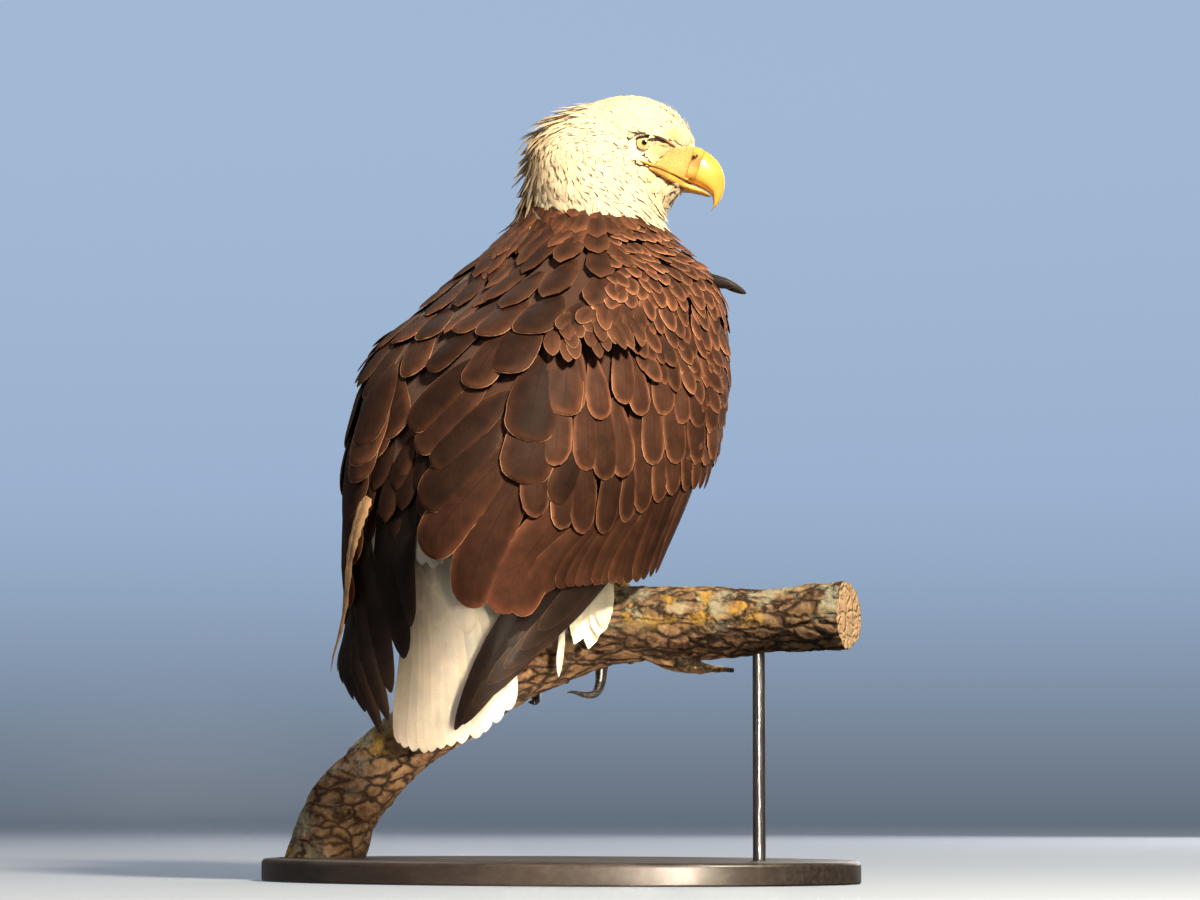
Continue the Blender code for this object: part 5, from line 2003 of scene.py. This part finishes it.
@dataclass
class Head:
    """Coat of head and neck, bill, eyes and lids.

    eye_gap, brow_gap and longest are how near the feathers' roots come to the eye's middle
    and to the brow's line, and the length of the longest lance.
    """

    seed: int = 31
    eye_gap: float = 0.0098
    brow_gap: float = 0.0036
    longest: float = 0.056

    def hackles(self) -> bpy.types.Object:
        """Small flat feathers on the face that lengthen to lances down the neck, over a
        broader soft layer. Nape feathers stray outwards, some of the throat's are lances, and
        crown and chin are a little shaggy.

        Returns:
            The piece of the lances.
        """
        rng = np.random.default_rng(self.seed)
        surface = head_surface()
        u, v = scatter(surface, HACKLE_ROWS, rng, 0.015, 0.95)
        points = surface.read(u, v)[0]
        forward, height, lateral = in_head(points).T
        eye = np.hypot((forward - EYE_FORWARD) * 0.92, height - EYE_HEIGHT)
        over = np.hypot(np.maximum(np.abs(forward - 0.1035) - 0.0185, 0),
                        height - 0.7118 + (forward - 0.0815) * 0.384)
        cere = ease((forward - 0.1275) / 0.001) * ease((0.705 - height) / 0.001)
        keep = (eye > self.eye_gap) & (over > self.brow_gap) & (bare_face(points) < 0.5) & (cere < 0.5)
        u, v, eye, over, forward, height, lateral = (
            row[keep] for row in (u, v, eye, over, forward, height, lateral))
        points, count = points[keep], len(u)
        length, half = smooth(HACKLE_SIZES, v).T
        close = ease((eye - 0.009) / 0.012)
        length = length * rng.uniform(0.75, 1.3, count) * (0.5 + 0.5 * close)
        nape = ease((v - 0.3) / 0.4)
        behind = ease((0.050 - forward) / 0.03) * ease((0.042 - np.abs(lateral)) / 0.02)
        lift = 0.0003 + nape * rng.uniform(0.0, 0.0026, count)
        stray = behind * rng.uniform(0, 1, count) ** 1.9
        lift = lift + stray * 0.0150
        length = length * (1 + 0.35 * behind * (1 - nape) + 0.45 * stray)
        lance = ease((forward - 0.045) / 0.020) * ease((v - 0.62) / 0.08) * ease((0.86 - v) / 0.06)
        lance = lance * rng.uniform(0, 1, count) ** 1.5
        lift = lift + 0.0040 * lance
        length = np.minimum(length * (1 + 0.75 * lance), self.longest)
        crown = ease((forward - 0.104) / 0.008) * ease((height - 0.712) / 0.006)
        lift = lift + crown * (rng.uniform(0, 1, count) ** 3) * 0.0040
        chin = ease((forward - 0.080) / 0.02) * ease((0.668 - height) / 0.008)
        lift = lift + chin * rng.uniform(0, 1, count) * 0.0060
        length = length * (1 + 0.5 * chin)
        warm = warm_face(points)[:, None]
        tint = np.array(WHITE) * CREAM * (1 - warm) + np.array(LORE_YELLOW) * warm
        tract = Feathers(u, v, length, half * rng.uniform(0.75, 1.2, count) * (0.6 + 0.4 * close),
                         rng.normal(0, 0.12 + 0.14 * nape, count), rng.normal(0, 0.2, count),
                         -0.0014 - 0.0034 * nape, lift,
                         rng.uniform(-0.08, 0.08, count), 1.1,
                         tint * rng.uniform(0.94, 1.06, (count, 1)), 0.15)
        wide = tract.half_width * (1.0 + 1.7 * ease((over - self.brow_gap) / 0.006) * close)
        soft = replace(tract, half_width=wide, length=length * 0.92, bend=0.0,
                       root=tract.root - 0.0004, tip=-0.0001 - 0.0002 * nape)
        coat("head_down", [lay(surface, soft, BREAST, rng)], HACKLES, "head")
        return coat("hackles", [lay(surface, tract, TUFT, rng)], HACKLES, "head")

    def eyes(self) -> None:
        """Eyeballs with pale irises, and the lids round them."""
        for side in Side:
            node = f"eye_{side.label}"
            ball = loft(f"eyeball_{side.label}", self.globe(side.sign))
            seat(ball, IrisFinish(f"{node}_finish"), node, (node,))
            lid = loft(f"eyelid_{side.label}", self.lid_rings(side.sign), 80.0, True)
            seat(lid, LID, "head", Shade=self.rim_shade(lid))

    @staticmethod
    def globe(sign: int) -> Array:
        """Rings of a ball about its line of sight, with a low clear bulge over the iris.

        Args:
            sign: 1 for the head's right side.

        Returns:
            The rings.
        """
        polar_angle = np.linspace(0.01, math.pi - 0.01, 40)
        turn = turns(56)
        radius = EYE_RADIUS * (1 + 0.03 * np.exp(-(polar_angle / 0.6) ** 2))
        out = EYE_SPREAD + radius * np.cos(polar_angle)
        wide = (radius * np.sin(polar_angle))[:, None]
        return head_point(EYE_FORWARD + wide * np.cos(turn), EYE_HEIGHT + wide * np.sin(turn),
                          sign * out[:, None])

    @staticmethod
    def lid_rings(sign: int) -> Array:
        """A fleshy hoop round the eye. Its section runs from the inner rim on the ball out
        over a rounded lip to the skin and back beneath; the opening is an oval drawn out to
        a point at its front.

        Args:
            sign: 1 for the head's right side.

        Returns:
            The rings, the last of which joins the first.
        """
        turn = turns(96)
        reach = np.array([0.0073, 0.0079, 0.0090, 0.0106, 0.0124, 0.0148, 0.0144, 0.0115, 0.0085])
        lift = np.array([0.0004, 0.0013, 0.0019, 0.0017, 0.0004, -0.0026, -0.0058, -0.0046, -0.0018])

        def bump(middle: float, wide: float) -> Array:
            """Bell curve of the angle from a direction."""
            return np.exp(-(np.angle(np.exp(1j * (turn - middle))) / wide) ** 2)[:, None]

        front, back, flat = bump(-0.25, 0.30), bump(math.pi, 0.35), bump(1.75, 0.75)
        fade = np.clip((0.0150 - reach) / 0.007, 0, 1)
        wide = reach * (1 + (0.16 * front + 0.04 * back - 0.20 * flat) * fade)
        ahead = LID_SHAPE[0] * wide * np.cos(turn)[:, None]
        above = LID_SHAPE[1] * wide * np.sin(turn)[:, None]
        away = np.minimum(np.hypot(ahead, above), 0.0100)
        ball = np.sqrt(EYE_RADIUS**2 - away**2)
        out = EYE_SPREAD + ball + lift + 0.0016 * flat * fade
        return head_point(EYE_FORWARD + ahead, EYE_HEIGHT + above, sign * out)

    @staticmethod
    def rim_shade(item: bpy.types.Object) -> Array:
        """Dark line along the lid's inner rim.

        Args:
            item: the lid.

        Returns:
            Share of the deep colour at each vertex.
        """
        forward, height, _ = in_head(vertices(item)).T
        away = np.hypot((forward - EYE_FORWARD) / LID_SHAPE[0], (height - EYE_HEIGHT) / LID_SHAPE[1])
        return ease((0.0097 - away) / 0.0014)

    @staticmethod
    def brow_shade(item: bpy.types.Object) -> Array:
        """Painted shadow on the brow over the eye, fading to the skin's own colour towards the bill."""
        return 1 - ease((in_head(vertices(item))[:, 0] - 0.102) / 0.008)

    def brows(self) -> None:
        """The bony ridge over each eye, a long low lens on the side of the head."""
        start, end, bow = np.array([0.0845, 0.7104]), np.array([0.1140, 0.6993]), 0.0010
        part = np.linspace(0, 1, 40)
        middle = start + (end - start) * part[:, None]
        middle[:, 1] += bow * np.sin(np.pi * part)
        size = np.sin(np.pi * np.clip(part, 0.02, 0.985) ** 1.5) ** 0.7
        turn = turns(18)
        side_out = np.interp(part, [0, 0.45, 1], [0.0372, 0.0394, 0.0312])
        height = middle[:, 1:] + size[:, None] * 0.0019 * np.sin(turn)
        out = side_out[:, None] + size[:, None] * 0.0030 * np.cos(turn)
        for side in Side:
            item = loft(f"brow_{side.label}", head_point(middle[:, :1], height, side.sign * out))
            seat(item, BROW, "head", Shade=self.brow_shade(item))

    def bill(self) -> None:
        """Cere with its nostrils, hooked upper bill, lower bill and the gape's lips."""
        upper = loft("upper_bill", self.upper_rings())
        cere = loft("cere_skin", self.cere_rings())
        lower = loft("lower_bill", self.lower_rings())
        for item, finish, node in ((upper, BILL, "bill_upper"), (cere, CERE, "cere"),
                                   (lower, BILL, "bill_lower")):
            seat(item, finish, node, (node,), Shade=self.bill_shade(item))
        surface = head_surface()
        for side in Side:
            for label, path, size in GAPE:
                item = loft(f"gape_{label}_{side.label}",
                            self.lip_rings(surface, path, size, side.sign))
                finish, shade = (MOUTH, 1.0) if label == "line" else (CERE, 0.0)
                seat(item, finish, "bill_lower", Shade=shade)

    @staticmethod
    def section(top: Array, low: Array, width: Array, share: float, around: int = 40) -> Array:
        """Superellipse rings between a ridge and an edge in the head's plane: the n-th root
        of the sum of n-th powers, with different reaches up and down.

        Args:
            top: forward and height of the ridge at each ring.
            low: forward and height of the edge at each ring.
            width: half width at each ring.
            share: where the widest part lies, from the edge to the ridge.
            around: points in a ring.

        Returns:
            The rings.
        """
        power = 2.4
        top, low = head_point(*np.moveaxis(top, -1, 0)), head_point(*np.moveaxis(low, -1, 0))
        side = head_point(0, 0, 1) - head_point(0, 0, 0)
        length = np.linalg.norm(top - low, axis=1)[:, None]
        turn = turns(around)
        up, across = np.cos(turn)[None, :], np.sin(turn)[None, :]
        reach = np.where(up >= 0, length * (1 - share), length * share)
        radius = (np.abs(up) / reach) ** power + (np.abs(across) / width[:, None]) ** power
        radius = radius[..., None] ** (-1 / power)
        centre = low + (top - low) * share
        spoke = up[..., None] * unit(top - low)[:, None] + across[..., None] * side
        return centre[:, None] + radius * spoke

    def upper_rings(self) -> Array:
        """Upper bill: rings from the cere round the arc of the ridge to the hook's tip.

        Returns:
            The rings.
        """
        angle = np.linspace(63.5, -52.0, 60)
        edge = smooth(BILL_EDGE, angle)
        ridge = np.stack([CULMEN[0] + CULMEN[2] * np.cos(np.radians(angle)),
                          CULMEN[1] + CULMEN[2] * np.sin(np.radians(angle))], -1)
        return self.section(ridge, edge[:, :2], edge[:, 2], 0.28)

    def cere_rings(self) -> Array:
        """Cere between forehead and bill, with a slanted slit pressed into each side.

        Returns:
            The rings.
        """
        rise = math.radians(64)
        last = smooth(BILL_EDGE, 64)[0]
        end = (CULMEN[0] + CULMEN[2] * math.cos(rise), CULMEN[1] + CULMEN[2] * math.sin(rise))
        part = np.linspace(0, 1, 26)[:, None]
        ridge = np.array([0.1325, 0.7026]) * (1 - part) + np.array(end) * part
        ridge[:, 1:] += 0.0012 * np.sin(np.pi * part)
        edge = np.array([0.1222, 0.6684]) * (1 - part) + last[:2] * part
        width = 0.0180 + (0.0150 - 0.0180) * part[:, 0] + 0.0006 * np.sin(np.pi * part[:, 0])
        rings = self.section(ridge, edge, width, 0.28, 72)
        forward, height, lateral = np.moveaxis(in_head(rings), -1, 0)
        slit = self.slit(forward, height)
        lip = np.exp(-((slit - 1.5) / 0.45) ** 2)
        push = -0.0034 * ease((1.25 - slit) / 0.7) + 0.0006 * lip
        return head_point(forward, height, lateral + np.sign(lateral) * push
                          * ease((np.abs(lateral) - 0.006) / 0.004))

    @staticmethod
    def slit(forward: Array, height: Array) -> Array:
        """Distance from the nostril's middle in a slanted oval.

        Args:
            forward: distances ahead.
            height: heights z.

        Returns:
            The distances, 1 at the nostril's edge.
        """
        run = unit([0.0050, 0.0022])
        ahead, above = forward - 0.1300, height - 0.6898
        along, across = ahead * run[0] + above * run[1], above * run[0] - ahead * run[1]
        return np.hypot(along / 0.0054, across / 0.0014)

    def lower_rings(self) -> Array:
        """Lower bill, from the gape's corner to a blunt tip inside the hook.

        Returns:
            The rings.
        """
        table = [(float(i), *row) for i, row in enumerate(LOWER_BILL)]
        low_f, low_z, top_f, top_z, width = smooth(table, np.linspace(0, len(table) - 1, 40)).T
        return self.section(np.stack([top_f + 0.0005, top_z], -1),
                            np.stack([low_f + 0.0005, low_z], -1), width, 0.55)

    @staticmethod
    def bill_shade(item: bpy.types.Object) -> Array:
        """Painted shade in the cere's nostril, and a little deep colour at the hook's tip.

        Args:
            item: the cere, or one half of the bill.

        Returns:
            Share of the deep colour at each vertex.
        """
        forward, height, _ = in_head(vertices(item)).T
        if item.name.startswith("cere"):
            return ease((1.15 - Head.slit(forward, height)) / 0.5)
        return ease((0.6455 - height) / 0.010) * ease((forward - 0.141) / 0.004) * 0.35

    @staticmethod
    def lip_rings(surface: Surface, path: list, size: float, sign: int) -> Array:
        """A lip along the cheek: round sections on a path in side view, out on the skin.

        Args:
            surface: head surface that gives how far out the skin lies.
            path: forward and height of points from rear to front.
            size: radius in the middle.
            sign: 1 for the head's right side.

        Returns:
            The rings.
        """
        table = [(float(i), *row) for i, row in enumerate(path)]
        forward, height = smooth(table, np.linspace(0, len(table) - 1, 36)).T
        local = in_head(surface.points[:100].reshape(-1, 3))
        local = local[local[:, 2] > 0]
        gap = (forward[:, None] - local[:, 0]) ** 2 + (height[:, None] - local[:, 1]) ** 2
        out = local[np.argmin(gap, axis=1), 2]
        out = np.convolve(np.pad(out, 3, mode="edge"), np.ones(7) / 7, mode="valid")
        blend = ease((forward - 0.112) / 0.016)
        out = out * (1 - blend) + 0.0142 * blend
        part = np.linspace(0, 1, 36)
        radius = size * np.sin(np.pi * np.clip(0.04 + 0.80 * part, 0, 0.97)) ** 0.55
        turn = turns(14)
        return head_point(forward[:, None] + 0 * turn, height[:, None] + radius[:, None] * np.sin(turn),
                          sign * (out[:, None] - 0.0004 + 1.1 * radius[:, None] * np.cos(turn)))

    def build(self) -> None:
        """Builds everything on the head."""
        self.hackles()
        self.eyes()
        self.brows()
        self.bill()


# ------------------------------------------------------------------------ feet and perch

ALONG = np.array([*BRANCH_HEADING, 0.0])
FOOT_RUN = {"right": 0.045, "left": -0.045}
# Toes of each foot: run of root, end and talon's tip along the branch, turn of the three
# round it in degrees, the talon tip's distance off the bark and the talon's arch
TOES = {
    "right": [(0.039, 0.025, -0.006, 12, 124, 182, 0.011, 0.015),
              (0.046, 0.056, 0.061, 12, 108, 148, 0.003, 0.006),
              (0.051, 0.079, 0.087, 12, 90, 130, 0.003, 0.006),
              (0.045, 0.040, 0.037, -12, -72, -116, 0.003, 0.006)],
    "left": [(-0.040, -0.022, -0.015, 12, 100, 142, 0.003, 0.006),
             (-0.046, -0.050, -0.053, 12, 110, 150, 0.003, 0.006),
             (-0.051, -0.076, -0.084, 12, 92, 132, 0.003, 0.006),
             (-0.045, -0.041, -0.038, -12, -72, -116, 0.003, 0.006)],
}
TOE_RADII, CLAW_RADIUS, CLAW_GAP = (0.0085, 0.0062), 0.0058, 0.00035


def branch_frame(run: Array) -> tuple[Array, Array, Array, Array]:
    """The branch's own axes.

    Args:
        run: distances along its plan line.

    Returns:
        Centre, horizontal front normal, upward normal and radius at each run.
    """
    run = np.atleast_1d(np.asarray(run, float))
    height, radius = smooth(BRANCH, run).T
    rise = smooth(BRANCH, run + 0.002)[:, 0] - smooth(BRANCH, run - 0.002)[:, 0]
    along = unit(ALONG * 0.004 + rise[:, None] * UP)
    front = np.array([-BRANCH_HEADING[1], BRANCH_HEADING[0], 0.0])
    upward = np.cross(np.broadcast_to(front, along.shape), along)
    upward = upward * np.sign(upward[:, 2:3])
    centre = run[:, None] * ALONG + height[:, None] * UP
    return centre, front, upward, radius


def branch_ridge(angle: Array, run: Array) -> Array:
    """Slow swellings of the bark as a share of the radius: three sine waves."""
    return (0.030 * np.sin(3 * angle + 9 * run) + 0.022 * np.sin(5 * angle - 14 * run + 1)
            + 0.025 * np.sin(47 * run + 0.5))


def wrap_point(run: Array, degrees: Array, off_bark: Array) -> Array:
    """Points over the bark.

    Args:
        run: distances along the branch.
        degrees: turns from its top towards the bird's front.
        off_bark: distances out from its radius.

    Returns:
        The points.
    """
    centre, front, upward, radius = branch_frame(run)
    angle = np.radians(degrees)[:, None]
    return centre + (radius + off_bark)[:, None] * (np.cos(angle) * upward + np.sin(angle) * front)


def tube(points: Array, radii: Array, around: int, guide: Array,
         first: Array | None = None) -> Array:
    """Round sections along a path, upright to it.

    Args:
        points: the path.
        radii: radius at each point, or at each point and angle.
        around: points in a section.
        guide: a direction that the path never takes.
        first: heading of the first section, if it isn't the path's.

    Returns:
        The rings.
    """
    heading = np.gradient(points, axis=0)
    if first is not None:
        heading[0] = first
    ahead = unit(heading)
    side = unit(np.cross(ahead, guide))
    upward = np.cross(side, ahead)
    turn = turns(around)[:, None]
    radii = np.asarray(radii).reshape(len(points), -1, 1)
    return points[:, None] + radii * (np.cos(turn) * upward[:, None] + np.sin(turn) * side[:, None])


@dataclass
class Foot:
    """Bare shank, four scaled toes and their talons."""

    side: Side
    around: int = 28
    scutes: int = 12

    def toe_path(self, toe: tuple, count: int = 60) -> tuple[Array, Array]:
        """Midline of a toe that wraps the branch, swollen at its joints.

        Args:
            toe: the toe's row of numbers.
            count: number of points.

        Returns:
            The points and the radii.
        """
        root, end, _, wrap, wrap_end = toe[:5]
        part = np.linspace(0, 1, count)
        radii = TOE_RADII[0] + (TOE_RADII[1] - TOE_RADII[0]) * part
        radii = radii * (1 + 0.07 * np.cos(part * 18))
        points = wrap_point(root + (end - root) * part**1.2, wrap + (wrap_end - wrap) * part,
                            radii + 0.0006)
        return points, radii

    def toe_rings(self, toe: tuple) -> Array:
        """A toe with a row of raised plates along its upper side.

        Args:
            toe: the toe's row of numbers.

        Returns:
            The rings.
        """
        points, radii = self.toe_path(toe)
        part = np.linspace(0, 1, len(points))[:, None]
        above = 0.5 + 0.5 * np.cos(turns(self.around))
        plate = np.abs(np.sin(part * math.pi * self.scutes)) ** 0.5 * above
        return tube(points, radii[:, None] * (0.955 + 0.07 * plate), self.around, ALONG)

    def shank_rings(self) -> Array:
        """Shank from under the thigh feathers down to the toes' root.

        Returns:
            The rings.
        """
        _, x, y, z = LEG[self.side.label][-1]
        foot = wrap_point(FOOT_RUN[self.side.label], np.array([2.0]), np.array([0.002]))[0]
        start = np.array([x, y, z + 0.012])
        level = np.linspace(0, 1, 40)
        radii = smooth([(0, 0.0105), (0.35, 0.0100), (0.7, 0.0122), (1, 0.0150)], level)
        scute = 1 + 0.03 * np.abs(np.sin(level * math.pi * 8))[:, None]
        turn = turns(self.around)
        ring = np.column_stack([np.cos(turn), np.sin(turn), np.zeros(self.around)])
        return (start + (foot - start) * level[:, None])[:, None] + (radii * scute)[..., None] * ring

    def talon_rings(self, toe: tuple) -> Array:
        """A curved tapered talon from the toe's end over the bark.

        Args:
            toe: the toe's row of numbers.

        Returns:
            The rings.
        """
        points, _ = self.toe_path(toe, 7)
        ahead = unit(points[-1] - points[-2])
        _, end, tip, _, wrap_end, wrap_tip, tip_off, arch = toe
        part = np.linspace(0, 1, 36)
        start = wrap_end + math.copysign(1.0, wrap_end)
        radii = CLAW_RADIUS * (1 - part**1.4) + 0.0005
        path = wrap_point(end + (tip - end) * part, start + (wrap_tip - start) * part,
                          TOE_RADII[1] + 0.0006 + arch * np.sin(math.pi * part) ** 2
                          + (tip_off - TOE_RADII[1]) * part**2)
        path[0] = points[-1] + ahead * CLAW_GAP
        return tube(path, radii, 20, ALONG, ahead)

    def build(self) -> None:
        """Joins shank and toes into one skin and adds the talons."""
        label = self.side.label
        parts = [loft(f"shank_form_{label}", self.shank_rings())]
        parts += [loft(f"toe_form_{label}_{n}", self.toe_rings(toe))
                  for n, toe in enumerate(TOES[label], 1)]
        seat(fuse(f"toes_{label}", parts, 0.0012, 1), ScalyFinish(), f"foot_{label}",
             (f"foot_{label}",))
        for number, toe in enumerate(TOES[label], 1):
            node = f"claw_{label}_{number}"
            talon = loft(f"talon_{label}_{number}", self.talon_rings(toe))
            seat(talon, TALON, node, (node,), Shade=0.0)


@dataclass
class Perch:
    """The cut length of branch with its snag.

    end_rings holds the sizes of the rings that close each cut end, and snag_rows the run,
    height and radius of the snag's midline.
    """

    stations: int = 330
    around: int = 150
    end_rings: tuple[float, ...] = (0.97, 0.9, 0.7, 0.45, 0.2)
    snag_rows: tuple = ((0.104, 0.222, 0.018), (0.125, 0.208, 0.0125), (0.146, 0.2005, 0.0075),
                        (0.160, 0.199, 0.0040), (0.182, 0.1975, 0.0022))

    def bark(self, points: Array, spoke: Array, depth: float = 1.0) -> Array:
        """Furrowed plates: ridged noise stretched along the branch, moved along the spokes.

        Args:
            points: points on the plain branch.
            spoke: directions out of it.
            depth: share of the full relief.

        Returns:
            The moved points.
        """
        along = points @ ALONG
        across = points - along[..., None] * ALONG
        stretched = across + (along * 0.42)[..., None] * ALONG
        warp = points + 0.008 * lattice_noise(points, 0.02, 3)[..., None]
        furrow = 1 - np.abs(lattice_noise(stretched + 0.3 * (warp - points), 0.0105, 1)) * 2.2
        furrow = np.clip(furrow, 0, 1) ** 2
        fine = lattice_noise(points, 0.0042, 2)
        knots = lattice_noise(points, 0.032, 4)
        lift = -0.0021 * furrow + 0.0007 * fine + 0.0012 * knots
        return points + spoke * (depth * lift)[..., None]

    def branch(self) -> bpy.types.Object:
        """Bark tube whose two cut ends are closed by shrinking rings.

        Returns:
            The piece.
        """
        run = np.linspace(BRANCH[0][0], BRANCH[-1][0], self.stations)
        turn = turns(self.around)
        centre, front, upward, radius = branch_frame(run)
        spoke = np.cos(turn)[:, None] * upward[:, None] + np.sin(turn)[:, None] * front
        reach = radius[:, None] * (1 + branch_ridge(turn, run[:, None]))
        rings = self.bark(centre[:, None] + reach[..., None] * spoke, spoke)
        rings[..., 2] = np.maximum(rings[..., 2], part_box("perch_branch")[0].z)
        shares = np.array(self.end_rings)[:, None, None]
        first, last = (ring.mean(axis=0) + (ring - ring.mean(axis=0)) * shares
                       for ring in (rings[0], rings[-1]))
        rings = np.concatenate([first[::-1], rings, last])
        item = loft("branch", rings)
        ends = len(shares)
        tall = np.pad(spoke[..., 2], ((ends, ends), (0, 0)), mode="edge")
        cut = np.ones(rings.shape[:2])
        cut[ends:-ends] = 0.0
        extra = len(item.data.vertices) - cut.size
        return seat(item, BarkFinish(), "perch_branch", ("perch_branch",),
                    Upward=np.pad(ease((tall.ravel() + 0.45) / 0.9), (0, extra)),
                    Cut=np.pad(cut.ravel(), (0, extra), constant_values=1.0))

    def snag(self) -> bpy.types.Object:
        """The stub of a broken twig under the branch.

        Returns:
            The piece.
        """
        rows = enumerate(self.snag_rows)
        table = [(i / 4, *(run * ALONG + height * UP), radius) for i, (run, height, radius) in rows]
        spine = smooth(table, np.linspace(0, 1, 60))
        rings = tube(spine[:, :3], spine[:, 3], 40, UP)
        out = unit(rings - spine[:, None, :3])
        return seat(loft("snag", self.bark(rings, out, 0.6)), BarkFinish(), "perch_branch",
                    Upward=0.15, Cut=0.0)

    def build(self) -> None:
        """Builds the branch and its snag."""
        self.branch()
        self.snag()


EBONY = StandFinish("ebonised_base", (0.020, 0.016, 0.014), (0.055, 0.042, 0.034), 0.38)
STEEL = StandFinish("blued_steel", (0.16, 0.16, 0.17), (0.30, 0.30, 0.31), 0.32, 1.0,
                    (400.0, 400.0, 8.0))


@dataclass
class Stand:
    """Oval base with eased edges; its rod and dowel keep their solids."""

    length: float = 0.300
    width: float = 0.190
    thick: float = 0.021
    ease_radius: float = 0.0045
    foot_ease: float = 0.0012
    turned: float = math.radians(20.0)

    def build(self) -> None:
        """Builds the base and finishes the rods."""
        turn = turns(180)[:, None]
        along = np.array([math.cos(self.turned), math.sin(self.turned), 0.0])
        aside = np.array([-along[1], along[0], 0.0])
        arc = np.linspace(0, math.pi / 2, 10)
        foot, edge = self.foot_ease, self.ease_radius
        profile = [(0.06, 0.0), (foot, 0.0), (0.0, foot), (0.0, self.thick - edge)]
        profile += [(edge * (1 - math.cos(a)), self.thick - edge * (1 - math.sin(a)))
                    for a in arc[1:]] + [(0.06, self.thick), (0.16, self.thick)]
        rings = np.stack([(self.length - inset) * np.cos(turn) * along
                          + (self.width - inset) * np.sin(turn) * aside
                          + height * UP for inset, height in profile])
        seat(loft("base", rings, 40.0), EBONY, "stand_base", ("stand_base",))
        steel = STEEL.build()
        for name in ("stand_rod", "stand_dowel"):
            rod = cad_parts[name]
            rod.data.materials.clear()
            rod.data.materials.append(steel)


@dataclass(frozen=True)
class Lamp:
    """A round area light on a sphere round the bird, aimed at a height over the origin.

    Angles are in degrees; beam is how far the light spreads.
    """

    name: str
    azimuth: float
    elevation: float
    distance: float
    size: float
    power: float
    colour: Colour
    height: float = 0.42
    beam: float = 180.0

    def build(self) -> None:
        """Hangs the lamp."""
        data = bpy.data.lights.new(self.name, "AREA")
        data.shape, data.size = "DISK", self.size
        data.energy, data.color = self.power, self.colour
        data.spread = math.radians(self.beam)
        hang(self.name, data, Vector((0, 0, self.height)), self.azimuth, self.elevation, self.distance)


LAMPS = (
    Lamp("key", 253.0, 34.0, 3.2, 0.50, 225.0, (1.0, 0.86, 0.66)),
    Lamp("fill", 195.0, 25.0, 3.4, 2.2, 14.0, (0.95, 0.95, 1.0)),
    Lamp("rim", 60.0, 45.0, 3.4, 1.6, 20.0, (1.0, 0.96, 0.90)),
    Lamp("front", 20.0, 14.0, 3.6, 2.4, 44.0, (1.0, 0.96, 0.92)),
    Lamp("tail_light", 234.0, 2.0, 2.6, 0.20, 0.85, (1.0, 0.82, 0.64), 0.09, 8.0),
)


def hang(name: str, data: bpy.types.ID, centre: Vector, azimuth: float, elevation: float,
         distance: float) -> bpy.types.Object:
    """Puts a camera or a light on a sphere, looking at its centre.

    Args:
        name: the object's name.
        data: the camera or the light.
        centre: the sphere's centre.
        azimuth: degrees round the centre, 0 on the side of -Y.
        elevation: degrees above the centre.
        distance: the sphere's radius.

    Returns:
        The new object.
    """
    a, e = math.radians(azimuth), math.radians(elevation)
    back = Vector((math.sin(a) * math.cos(e), -math.cos(a) * math.cos(e), math.sin(e)))
    item = bpy.data.objects.new(name, data)
    item.location = centre + back * distance
    item.rotation_mode = "QUATERNION"
    item.rotation_quaternion = (-back).to_track_quat("-Z", "Y")
    bpy.context.scene.collection.objects.link(item)
    return item


@dataclass
class Studio:
    """Camera, lights, floor and backdrop."""

    azimuth: float = 225.0
    elevation: float = -4.0
    distance: float = 4.5
    target: tuple[float, float, float] = (-0.029, -0.029, 0.4085)
    metres_across: float = 1.14
    sensor: float = 36.0

    def camera(self) -> None:
        """Sets the camera on a sphere round the target, its lens from the view's width."""
        data = bpy.data.cameras.new("camera")
        data.sensor_width = self.sensor
        data.lens = self.sensor * self.distance / self.metres_across
        bpy.context.scene.camera = hang("camera", data, Vector(self.target), self.azimuth,
                                        self.elevation, self.distance)

    def room(self) -> None:
        """A round pale floor that rises into a wall far behind."""
        flat, bend, wall, under = 6.5, 1.5, 7.0, 0.0004
        arc = np.linspace(0, math.pi / 2, 16)
        profile = [(0.01, 0.0), (flat, 0.0)]
        profile += [(flat + bend * math.sin(a), bend - bend * math.cos(a)) for a in arc[1:]]
        profile.append((flat + bend, wall))
        turn = turns(128)
        rings = np.stack([np.column_stack([r * np.cos(turn), r * np.sin(turn),
                                           np.full(len(turn), z - under)]) for r, z in profile])
        quads = ring_quads(len(rings), len(turn))[:, ::-1]
        item = make_object("floor", rings.reshape(-1, 3), quads.ravel(), np.full(len(quads), 4), 180.0)
        item.visible_diffuse = item.visible_glossy = False
        s = Shader("pale_floor", Roughness=0.85, Emission_Color=(0.28, 0.46, 0.74, 1.0))
        height = s.part(s.place(), "Z")
        s.feed(s.surface.inputs["Emission Strength"], s.ramp(height, -0.2, 0.9, 0.12, 0.66))
        colour = s.blend(s.ramp(height, 0.0, 2.0), (0.36, 0.40, 0.45), (0.57, 0.65, 0.76))
        item.data.materials.append(s.done(colour))

    def build(self) -> None:
        """Builds the studio."""
        self.camera()
        self.room()
        for lamp in LAMPS:
            lamp.build()
        bpy.context.scene.view_settings.view_transform = "Standard"
        world = bpy.data.worlds.new("studio")
        bpy.context.scene.world = world
        world.use_nodes = True
        sky = world.node_tree.nodes["Background"].inputs
        sky["Color"].default_value = (1.0, 0.93, 0.88, 1.0)
        sky["Strength"].default_value = 0.13


def main() -> None:
    """Builds the studio, the stand and perch, and the bird, then notes the sizes."""
    logging.basicConfig(level=logging.INFO, format="%(message)s")
    Studio().build()
    Stand().build()
    Perch().build()
    Torso().build()
    Head().build()
    for side in Side:
        Foot(side).build()


if __name__ == "__main__":
    main()
